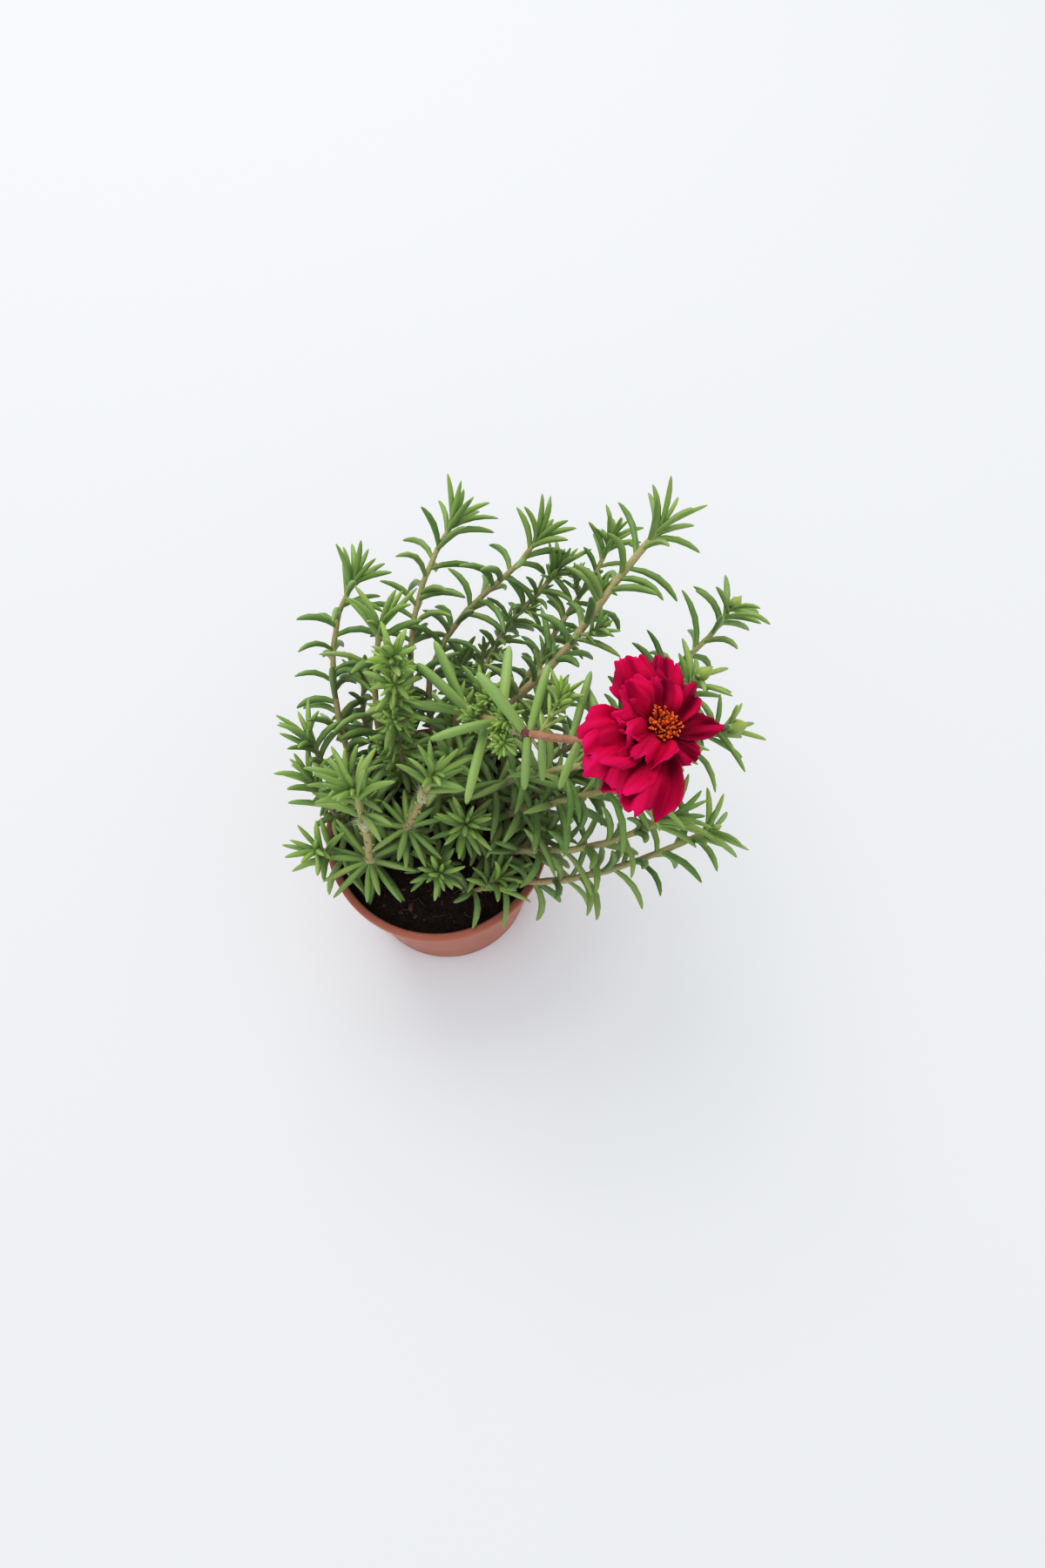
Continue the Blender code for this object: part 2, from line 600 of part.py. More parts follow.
def lay_leaf(thicket, owner, root, tip, thickness):
    """A leaf with a given tip, arched a little, and lifted or lowered until it is clear, or None."""
    samples = np.linspace(0.16, 1, 8)
    for shift in (0, 0.002, -0.002, 0.004, -0.004, 0.007, -0.007, 0.010, -0.010):
        end = np.array(tip) + (0, 0, shift)
        controls = np.array([root, (root + end) / 2 + (0, 0, 0.10 * np.linalg.norm(end - root)), end])
        centres = bezier(controls, samples)
        radii = FULLNESS * thickness * leaf_radius(samples)
        if thicket.is_clear(centres, radii, owner):
            thicket.add(centres, radii, owner)
            return controls
    return None


def leaf_stations(length, bare, crown, crown_leaves, worn):
    """Distances along a stem where its leaves grow: evenly along it, then crowded in a crown at the tip."""
    spaced = np.arange(bare * length, length - crown * 1.2, LEAF_PITCH)
    spaced = spaced[(spaced < worn[0] * length) | (spaced > worn[1] * length)]
    return np.concatenate([spaced, length - crown * np.linspace(0.95, 0.15, crown_leaves)])


def grow_leaves(thicket, owner, route, leaf_length, bare, draw, full_size=1.0,
                crown=(0.009, TIP_LEAVES), young_spread=YOUNG_SPREAD, worn=(1, 1)):
    """The leaves of one stem or shoot, as (control points, thickness, whether it has a full neck)."""
    length = route_length(route)
    leaves = []
    turn = draw.uniform(0, 2 * math.pi)
    for distance in leaf_stations(length, bare, *crown, worn):
        ahead = along(route, [max(distance - 0.002, 0), distance])
        heading = ahead[1] - ahead[0]
        heading /= np.linalg.norm(heading)
        u = np.cross(heading, (0.2, 0.1, 1.0))
        u /= np.linalg.norm(u)
        frame = heading, u, np.cross(heading, u)
        youth = min(max((distance - length + TIP_ZONE) / TIP_ZONE, 0), 1)
        turn += GOLDEN_TURN + math.radians(draw.uniform(-12, 12))
        size = 1.14 * leaf_length * (1 - 0.12 * youth**1.5) * draw.uniform(0.88, 1.08) * full_size
        thickness = (0.00135 + 0.020 * (leaf_length - 0.018)) * (1 - 0.22 * youth) * full_size**0.5
        spread = OLD_SPREAD + youth * (young_spread - OLD_SPREAD) + math.radians(draw.uniform(-7, 7))
        recurve = OLD_RECURVE + youth * (YOUNG_RECURVE - OLD_RECURVE) + math.radians(draw.uniform(-12, 12))
        grown = grow_leaf(thicket, owner, ahead[1], frame, turn, size, thickness, spread, recurve)
        if grown is not None:
            leaves.append((grown, thickness, youth < 0.4))
    return leaves


def tube_points(stem, route):
    """The points of a stem's tube: its buried end, then evenly spaced ones."""
    length = route_length(route)
    count = max(6, round(length / stem.get("step", STEM_STEP)))
    return np.vstack([route[0], along(route, np.linspace(ROOT_DEPTH, length, count))])


def shoot_route(route, share, turn):
    """A side shoot's short route, out of the stem's axil and up towards the light."""
    root, ahead = along(route, [share * route_length(route), share * route_length(route) + 0.002])
    heading = (ahead - root) / np.linalg.norm(ahead - root)
    u = np.cross(heading, (0.2, 0.1, 1.0))
    u /= np.linalg.norm(u)
    v = np.cross(heading, u)
    out = math.cos(math.radians(turn)) * u + math.sin(math.radians(turn)) * v
    tip = root + SHOOT_LENGTH * (0.55 * heading + 0.75 * out + np.array((0, 0, 0.35)))
    return bezier(np.array([root, root + 0.5 * SHOOT_LENGTH * out, tip]), np.linspace(0, 1, 8))


def route_at_x(route, x):
    """The point of the flower stem's route at this x, past its upright foot."""
    bend = int(np.argmax(route[:, 0] > FLOWER_FOOT))
    return np.array([np.interp(x, route[bend:, 0], route[bend:, k]) for k in range(3)])


def placed_shoot(route, x, tip):
    root = route_at_x(route, x)
    return bezier(np.array([root, (root + tip) / 2 + (0, 0, -0.001), tip]), np.linspace(0, 1, 8))


def stem_radii(radius, count):
    return radius * np.linspace(1.0, 0.68, count)


def bud_place(stem, route):
    """A bud's centre and heading: on its stem's tip, and nodding outwards."""
    heading = (route[-1] - route[-2]) * (1, 1, BUD_NOD)
    heading /= np.linalg.norm(heading)
    return route[-1] + heading * stem["bud"] * 0.9, heading


def bud_mesh(centre, heading, radius):
    """A plump pointed bud, closed, on a stem's tip."""
    path = centre + np.outer(radius * np.array([-1.2, -0.6, 0.3, 1.1, 2.0]), heading)
    return swept_mesh("bud", path, radius * np.array([0.35, 0.85, 1.0, 0.6, 0.0]), 6)


def grow_plant():
    """Every stem's own route, shoots and leaves, each leaf bent clear of what grew before it."""
    thicket = Thicket()
    petal_samples = bloom_samples()
    thicket.add(petal_samples, np.full(len(petal_samples), 0.0012), -1)
    plant = {}
    for owner, (name, stem) in enumerate(STEMS.items()):
        route = tube_points(stem, smooth_route(stem))
        shoots = [shoot_route(route, share, turn) for share, turn in stem["shoots"]]
        if "calyx" in stem:
            shoots = [placed_shoot(route, x, np.array(tip)) for x, tip in FLOWER_SHOOTS]
        plant[name] = {"route": route, "shoots": shoots, "leaves": []}
        fine = along(route, np.arange(0, route_length(route), 0.0012))
        thicket.add(fine, np.full(len(fine), stem["radius"] * 1.02), owner)
        for shoot in shoots:
            thicket.add(shoot, np.full(len(shoot), 0.0010), owner)
        if "bud" in stem:
            centre, heading = bud_place(stem, route)
            body = centre + np.outer(stem["bud"] * np.linspace(-0.3, 1.5, 4), heading)
            sky = centre + np.outer(np.linspace(0, BUD_SKY, 4), (0, -0.35, 1))
            thicket.add(np.vstack([body, sky]), np.full(8, 0.8 * stem["bud"]), owner)
    for owner, (name, stem) in enumerate(STEMS.items()):
        draw = random.Random(owner + 11)
        grown = plant[name]
        route = grown["route"]
        if "calyx" in stem:
            for x, tip, thickness in FLOWER_LEAVES:
                laid = lay_leaf(thicket, owner, route_at_x(route, x), tip, thickness)
                if laid is not None:
                    grown["leaves"].append((laid, thickness, True))
            route = route[route[:, 0] < FLOWER_FOOT]
        young = OPEN_SPREAD if "bud" in stem else YOUNG_SPREAD
        grown["leaves"] += grow_leaves(thicket, owner, route, stem["leaf"], stem["bare"], draw,
                                       young_spread=young, worn=stem.get("worn", (1, 1)))
        for shoot in grown["shoots"]:
            crown = 0.004, SHOOT_LEAVES
            size = 0.34 if "calyx" in stem else 0.5
            grown["leaves"] += grow_leaves(thicket, owner, shoot, stem["leaf"], 0.6, draw, size, crown)
    return plant


def make_stem(name, stem, grown, material):
    """One leafy stem: its tube, with shoots, leaves and bud joined to it."""
    path = grown["route"]
    radii = stem_radii(stem["radius"], len(path))
    if "calyx" in stem:
        path = np.vstack([path[:-2], axial_path([-0.0050, -0.0024, -0.0010, 0.0])])
        radii = np.concatenate([radii[:-1], [radii[-1], 0.0021, 0.0026]])
    obj = add_object(name, swept_mesh(name, path, radii, STEM_SIDES), material)
    joined = tool_collection(name + "_repeats")
    for shoot in grown["shoots"]:
        mesh = swept_mesh("shoot", along(shoot, np.linspace(0, route_length(shoot), 4)),
                          0.0009 * np.array([1.0, 0.95, 0.9, 0.8]), STEM_SIDES)
        add_object("shoot", mesh, collection=joined)
    for leaf in grown["leaves"]:
        add_object("leaf", leaf_mesh(*leaf), collection=joined)
    if "bud" in stem:
        add_object("bud", bud_mesh(*bud_place(stem, grown["route"]), stem["bud"]), collection=joined)
    apply_boolean(obj, "UNION", joined, "MANIFOLD")
    keep_main_body(obj)


def bloom_frame():
    """The bloom's own directions: across, along and up its axis."""
    across = BLOOM_AXIS.cross(Vector((0, 1, 0))).normalized()
    across = -across if across.x < 0 else across
    return across, BLOOM_AXIS.cross(across), BLOOM_AXIS


def petal_width(v):
    """A petal's half width along its length, as a share of its fullest."""
    return np.interp(v, [0, 0.15, 0.35, 0.6, 0.85, 1.0], [0.20, 0.36, 0.70, 0.96, 1.0, 0.94])


def petal_point(petal, u, v):
    """A point on a petal's middle surface: u from -1 to 1 across it, v from its base to its edge."""
    turn, length, half_width, base_tilt, edge_tilt, fold, phase, pointed = petal
    turn = math.radians(turn)
    round_edge = 1 - 0.30 * abs(u) ** 2.6 + 0.035 * math.cos(2.2 * math.pi * u + phase)
    pointed_edge = 1 - 0.55 * abs(u) ** 1.2
    edge = v * (round_edge + pointed * (pointed_edge - round_edge))
    steps = np.linspace(0, edge, 12)
    tilts = np.radians(base_tilt + (edge_tilt - base_tilt) * steps)
    rise = float(np.trapz(np.cos(tilts), steps)) * length
    run = float(np.trapz(np.sin(tilts), steps)) * length + CUP_RADIUS * 0.55
    width = half_width * float(petal_width(edge))
    lift = 0.30 * width * u * u * (1 - 0.7 * edge) + fold * edge**1.6 * math.sin(2.1 * math.pi * u + phase)
    tilt = float(tilts[-1])
    out = run - lift * math.cos(tilt)
    up = rise + lift * math.sin(tilt) + CUP_HEIGHT * 0.45
    side = u * width
    x = out * math.cos(turn) - side * math.sin(turn)
    y = out * math.sin(turn) + side * math.cos(turn)
    across, forward, axis = bloom_frame()
    return BLOOM_SEAT + across * x + forward * y + axis * up


def petal_mesh(petal):
    """A closed waved blade, its two faces split into the same triangles."""
    us, vs = np.linspace(-1, 1, PETAL_COLUMNS), np.linspace(0, 1, PETAL_ROWS)
    middle = np.array([[petal_point(petal, u, v) for u in us] for v in vs])
    along_u, along_v = np.gradient(middle, axis=1), np.gradient(middle, axis=0)
    normals = np.cross(along_u, along_v)
    normals /= np.linalg.norm(normals, axis=2)[..., None]
    half = 0.5 * PETAL_THICKNESS * normals
    verts = np.concatenate([(middle + half).reshape(-1, 3), (middle - half).reshape(-1, 3)])
    under = PETAL_ROWS * PETAL_COLUMNS
    faces = []
    for i in range(PETAL_ROWS - 1):
        for k in range(PETAL_COLUMNS - 1):
            a = i * PETAL_COLUMNS + k
            b, c, d = a + 1, a + PETAL_COLUMNS + 1, a + PETAL_COLUMNS
            for one, two, three in ((a, b, c), (a, c, d)):
                faces.append((one, two, three))
                faces.append((three + under, two + under, one + under))
    rim = [k for k in range(PETAL_COLUMNS)]
    rim += [i * PETAL_COLUMNS + PETAL_COLUMNS - 1 for i in range(1, PETAL_ROWS)]
    rim += [(PETAL_ROWS - 1) * PETAL_COLUMNS + k for k in range(PETAL_COLUMNS - 2, -1, -1)]
    rim += [i * PETAL_COLUMNS for i in range(PETAL_ROWS - 2, 0, -1)]
    for a, b in zip(rim, rim[1:] + rim[:1]):
        faces.append((b, a, a + under))
        faces.append((b, a + under, b + under))
    return mesh_from("petal", verts, faces)


def bloom_samples():
    """Places on the petals that leaves keep clear of."""
    places = []
    for petal in OUTER_PETALS + INNER_PETALS:
        for u in np.linspace(-1, 1, 17):
            places += [petal_point(petal, u, v) for v in np.linspace(0.05, 1, 15)]
    places += [BLOOM_SEAT + BLOOM_AXIS * height for height in np.linspace(0.002, 0.014, 9)]
    return np.array(places)


def axial_path(heights):
    return np.array([BLOOM_SEAT + BLOOM_AXIS * height for height in heights])


def make_bloom(material):
    """The petals, in an outer and an inner layer, joined to the cup that carries them."""
    radii = CUP_RADIUS * np.array([0.6, 1.0, 0.95])
    cup = swept_mesh("bloom", axial_path([GAP, 0.0012, CUP_HEIGHT]), radii, 12)
    bloom = add_object("bloom", cup, material)
    petals = tool_collection("petals")
    for petal in OUTER_PETALS + INNER_PETALS:
        add_object("petal", petal_mesh(petal), collection=petals)
    apply_boolean(bloom, "UNION", petals, "MANIFOLD")
    keep_main_body(bloom)


def make_stamens(material):
    """A tuft of stamens on one small disc, each a filament that swells to its anther."""
    base = CUP_HEIGHT + GAP
    disc = swept_mesh("stamens", axial_path([base, base + 0.0010]), np.array([0.0021, 0.0018]), 10)
    stamens = add_object("stamens", disc, material)
    filaments = tool_collection("filaments")
    across, forward, axis = bloom_frame()
    draw = random.Random(5)
    for i in range(STAMEN_COUNT):
        reach = math.sqrt((i + 0.5) / STAMEN_COUNT)
        turn = i * GOLDEN_TURN
        out = across * math.cos(turn) + forward * math.sin(turn)
        root = BLOOM_SEAT + axis * (base + 0.0004) + out * 0.0014 * reach
        height = 0.0096 * draw.uniform(0.62, 1.0)
        tip = root + axis * height * math.cos(0.6 * reach) + out * height * math.sin(0.6 * reach)
        path = np.array([root + (tip - root) * share for share in (0, 0.80, 0.90, 1.0)])
        mesh = swept_mesh("filament", path, np.array([0.00030, 0.00026, 0.00066, 0.0]), 3)
        add_object("filament", mesh, collection=filaments)
    apply_boolean(stamens, "UNION", filaments, "MANIFOLD")
    keep_main_body(stamens)


def main():
    clear_scene()
    make_pot(finish_material("clay_plastic", CLAY, 0.42))
    make_soil(finish_material("soil", DARK_SOIL, 0.95))
    make_bloom(finish_material("petal", CRIMSON, 0.55))
    make_stamens(finish_material("stamen", ORANGE, 0.6))
    leaf = finish_material("leaf", GREEN_LEAF, 0.45)
    plant = grow_plant()
    for name, stem in STEMS.items():
        make_stem(name, stem, plant[name], leaf)
    print("leaves:", sum(len(grown["leaves"]) for grown in plant.values()))


main()
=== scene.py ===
# %% [markdown]
# # A potted moss rose, dressed for its portrait
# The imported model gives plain, faceted solids: the pot, the soil, thirty-one leafy stems, the flower stem,
# the bloom and its stamens. This lesson replaces them with fine pieces that stand in the same places. Every
# stem's route and every leaf of the solids is found again from the same few rules, so that the fine plant
# grows through the plain one. Then more leaves are grown between them, because the real plant is far leafier.

# %% Load the frame
import json
import math
import random

import bpy
import numpy as np
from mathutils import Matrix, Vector, noise

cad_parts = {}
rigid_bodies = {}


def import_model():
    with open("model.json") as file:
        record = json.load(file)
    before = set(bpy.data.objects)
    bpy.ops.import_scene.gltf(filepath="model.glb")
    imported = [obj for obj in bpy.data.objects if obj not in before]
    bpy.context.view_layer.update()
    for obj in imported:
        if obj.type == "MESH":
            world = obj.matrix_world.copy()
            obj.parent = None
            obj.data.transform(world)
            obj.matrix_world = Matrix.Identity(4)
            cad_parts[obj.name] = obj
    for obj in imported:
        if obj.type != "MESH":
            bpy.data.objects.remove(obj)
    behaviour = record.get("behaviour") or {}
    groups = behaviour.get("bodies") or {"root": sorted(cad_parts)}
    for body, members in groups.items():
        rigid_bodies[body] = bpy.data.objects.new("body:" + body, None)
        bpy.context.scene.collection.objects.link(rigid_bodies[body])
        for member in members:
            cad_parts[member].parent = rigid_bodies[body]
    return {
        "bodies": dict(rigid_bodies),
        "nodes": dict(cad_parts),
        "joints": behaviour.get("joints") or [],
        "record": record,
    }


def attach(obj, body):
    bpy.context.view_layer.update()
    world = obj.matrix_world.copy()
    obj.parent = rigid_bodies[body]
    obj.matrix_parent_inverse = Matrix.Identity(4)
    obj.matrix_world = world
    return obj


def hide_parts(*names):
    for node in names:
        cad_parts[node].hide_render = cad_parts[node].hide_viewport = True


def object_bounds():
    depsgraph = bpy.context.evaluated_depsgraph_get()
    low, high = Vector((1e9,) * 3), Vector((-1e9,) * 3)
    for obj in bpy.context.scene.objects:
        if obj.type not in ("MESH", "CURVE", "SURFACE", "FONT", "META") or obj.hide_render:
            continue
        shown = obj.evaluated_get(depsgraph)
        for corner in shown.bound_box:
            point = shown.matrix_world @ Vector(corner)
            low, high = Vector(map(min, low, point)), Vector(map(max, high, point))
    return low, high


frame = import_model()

CAD_LOW, CAD_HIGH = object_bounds()
print("frame nodes:", len(frame["nodes"]), "box:", [round(v, 4) for v in (*CAD_LOW, *CAD_HIGH)])


# %% [markdown]
# Operators act on whatever is selected, and the loader leaves the whole frame selected. So each new piece
# starts from an empty selection, and vertices are picked in code, by their place, before an edit.

# %% Small helpers for selecting
def select_only(*objects):
    """Leaves just these objects selected, the last of them active."""
    bpy.ops.object.select_all(action="DESELECT")
    for item in objects:
        item.select_set(True)
        bpy.context.view_layer.objects.active = item


def pick_vertices(item, chosen):
    """Selects the vertices that chosen says yes to, and opens edit mode on them."""
    select_only(item)
    bpy.ops.object.mode_set(mode="EDIT")
    bpy.ops.mesh.select_mode(type="VERT")
    bpy.ops.mesh.select_all(action="DESELECT")
    bpy.ops.object.mode_set(mode="OBJECT")
    for vertex in item.data.vertices:
        vertex.select = bool(chosen(vertex.co))
    bpy.ops.object.mode_set(mode="EDIT")


def leave_edit(item, name):
    """Back to object mode, with the piece's place written into its mesh."""
    bpy.ops.object.mode_set(mode="OBJECT")
    select_only(item)
    bpy.ops.object.transform_apply(location=True, rotation=True, scale=True)
    item.name = name
    item.data.name = name
    return item


def coordinates(mesh):
    flat = np.empty(3 * len(mesh.vertices))
    mesh.vertices.foreach_get("co", flat)
    return flat.reshape(-1, 3)


def set_coordinates(mesh, places):
    mesh.vertices.foreach_set("co", np.ascontiguousarray(places, dtype=float).ravel())
    mesh.update()


def give_value(mesh, name, values):
    """Stores one number per vertex, for a material to read by name."""
    attribute = mesh.attributes.get(name) or mesh.attributes.new(name, "FLOAT", "POINT")
    each = np.broadcast_to(np.asarray(values, float), len(mesh.vertices))
    attribute.data.foreach_set("value", each.ravel())


def paint(item, material):
    """Gives a piece this material and no other."""
    item.data.materials.clear()
    item.data.materials.append(material)


print("helpers ready")


# %% [markdown]
# ## The camera, the table and the light
# The photograph looks down steeply, from the front, in soft daylight that comes from beyond the plant: the
# pot's shadow falls towards the viewer and is faint. One large lamp behind the plant, a weak one in front and
# a pale sky give that. A tone curve then deepens the shadows and lifts the lights, as a phone's camera does.

# %% Camera
camera_data = bpy.data.cameras.new("camera")
camera_data.lens = 26.0
camera_data.sensor_width = 36.0
camera_data.clip_start = 0.01
camera_data.clip_end = 20.0
camera = bpy.data.objects.new("camera", camera_data)
bpy.context.scene.collection.objects.link(camera)
CAMERA_AIM = Vector((0.038, 0.053, 0.0))
CAMERA_TILT = math.radians(70.2)
CAMERA_DISTANCE = 0.605
look_back = Vector((0.0, -math.cos(CAMERA_TILT), math.sin(CAMERA_TILT)))
camera.location = CAMERA_AIM + CAMERA_DISTANCE * look_back
camera.rotation_euler = (CAMERA_AIM - camera.location).to_track_quat("-Z", "Y").to_euler()
bpy.context.scene.camera = camera
print("camera at", [round(v, 3) for v in camera.location])

# %% Table top
TABLE_DROP = 0.0002
select_only()
bpy.ops.mesh.primitive_plane_add(size=8.0, location=(0.0, 0.0, -TABLE_DROP))
table_top = leave_edit(bpy.context.object, "table_top")
table_paint = bpy.data.materials.new("table_paint")
table_paint.use_nodes = True
table_shader = table_paint.node_tree.nodes["Principled BSDF"]
table_shader.inputs["Base Color"].default_value = (0.86, 0.875, 0.90, 1.0)
table_shader.inputs["Roughness"].default_value = 0.7
table_shader.inputs["Specular IOR Level"].default_value = 0.2
paint(table_top, table_paint)
print("table top:", [round(side, 2) for side in table_top.dimensions])


# %% Daylight
def hang_lamp(name, place, target, size, power, colour):
    """A square soft lamp that faces its target."""
    lamp = bpy.data.lights.new(name, "AREA")
    lamp.shape = "SQUARE"
    lamp.size = size
    lamp.energy = power
    lamp.color = colour
    holder = bpy.data.objects.new(name, lamp)
    holder.location = place
    holder.rotation_euler = (Vector(target) - Vector(place)).to_track_quat("-Z", "Y").to_euler()
    bpy.context.scene.collection.objects.link(holder)


PLANT_MIDDLE = (0.03, 0.03, 0.08)
FILM_TONES = [(0.05, 0.033), (0.11, 0.080), (0.20, 0.195), (0.32, 0.365), (0.50, 0.640), (0.66, 0.790),
              (0.82, 0.895)]
hang_lamp("window", (-0.28, 0.95, 1.45), PLANT_MIDDLE, 1.1, 9.5, (1.0, 0.99, 0.97))
hang_lamp("room", (0.3, -0.9, 1.6), PLANT_MIDDLE, 1.6, 1.5, (0.97, 0.98, 1.0))
sky = bpy.data.worlds.new("sky")
bpy.context.scene.world = sky
sky.use_nodes = True
background = sky.node_tree.nodes["Background"]
background.inputs["Color"].default_value = (0.93, 0.96, 1.0, 1.0)
background.inputs["Strength"].default_value = 0.72
view = bpy.context.scene.view_settings
view.view_transform = "Standard"
view.use_curve_mapping = True
for tone in FILM_TONES:
    view.curve_mapping.curves[3].points.new(*tone)
view.curve_mapping.update()


# %% [markdown]
# ## How the plant grows
# The rules are those of the solids. A stem leaves the soil straight up and then passes smoothly through a
# few points. Leaves stand on it a golden angle apart, wide on the old part and close to the stem at the tip,
# and each one is turned or leant until it is clear of what grew before it.

# %% Sizes that the plant shares with the solids
# The pot and its soil
POT_HEIGHT, LIP_RADIUS, LIP_DEPTH = 0.086, 0.050, 0.0042
FOOT_RADIUS, SHOULDER_RADIUS, WALL = 0.0402, 0.0475, 0.0010
FLOOR_TOP, CHANNEL_HEIGHT, PAD_RADIUS = 0.0038, 0.0025, 0.014
DRAIN_RING_RADIUS, DRAIN_RADIUS, DRAIN_COUNT = 0.024, 0.003, 5
SOIL_TOP, SOIL_BUMP = 0.077, 0.0009

# Stems: how deep they stand in the soil, and how far apart the rings of their tubes are
ROOT_DEPTH, STEM_STEP = 0.012, 0.015
SHOOT_LENGTH = 0.009

# Leaves: how much fuller the solids' three flat sides are, how deep a leaf's root is sunk, the pitch of
# leaves on a stem, the reach of its young tip and of the crowded leaves at its end, and the room between
# neighbours
FULLNESS, SUNK = 1.25, 0.0009
LEAF_PITCH, TIP_ZONE = 0.0111, 0.018
CROWN, SHOOT_CROWN = 0.009, 0.004
TIP_LEAVES, SHOOT_LEAVES = 6, 4
CLEARANCE = 0.0004
GOLDEN_TURN = math.radians(137.5)
OLD_SPREAD, YOUNG_SPREAD, OPEN_SPREAD = math.radians(50), math.radians(22), math.radians(48)
OLD_RECURVE, YOUNG_RECURVE = math.radians(58), math.radians(24)
LEAF_SAG = 0.12
LEAF_SAMPLES = np.linspace(0.16, 1, 8)

# Buds and bloom: the clear sky kept over a bud, how level it nods, where the flower stem stops rising
# upright, and the bloom's place and cup
BUD_SKY, BUD_NOD = 0.009, 0.5
FLOWER_FOOT = 0.0105
BLOOM_SEAT = Vector((0.0850, -0.0035, 0.2050))
BLOOM_AXIS = Vector((0.14, 0.12, 1.0)).normalized()
CUP_RADIUS, CUP_HEIGHT = 0.0036, 0.0030


def inner_radius(height):
    """The pot's inner wall radius at a height."""
    share = (height - FLOOR_TOP) / (POT_HEIGHT - LIP_DEPTH - FLOOR_TOP)
    return FOOT_RADIUS - WALL + share * (SHOULDER_RADIUS - FOOT_RADIUS)


print("inner radius at the soil:", round(inner_radius(SOIL_TOP), 4))


# %% [markdown]
# Each stem is a short table row, as in the solids: the points its route passes through, how thick it is,
# how long its leaves are, where it is bare and where shoots and a bud grow.

# %% The stems
def row(route, radius, leaf, bare, shoots=(), **more):
    return {"route": route, "radius": radius, "leaf": leaf, "bare": bare, "shoots": shoots, **more}


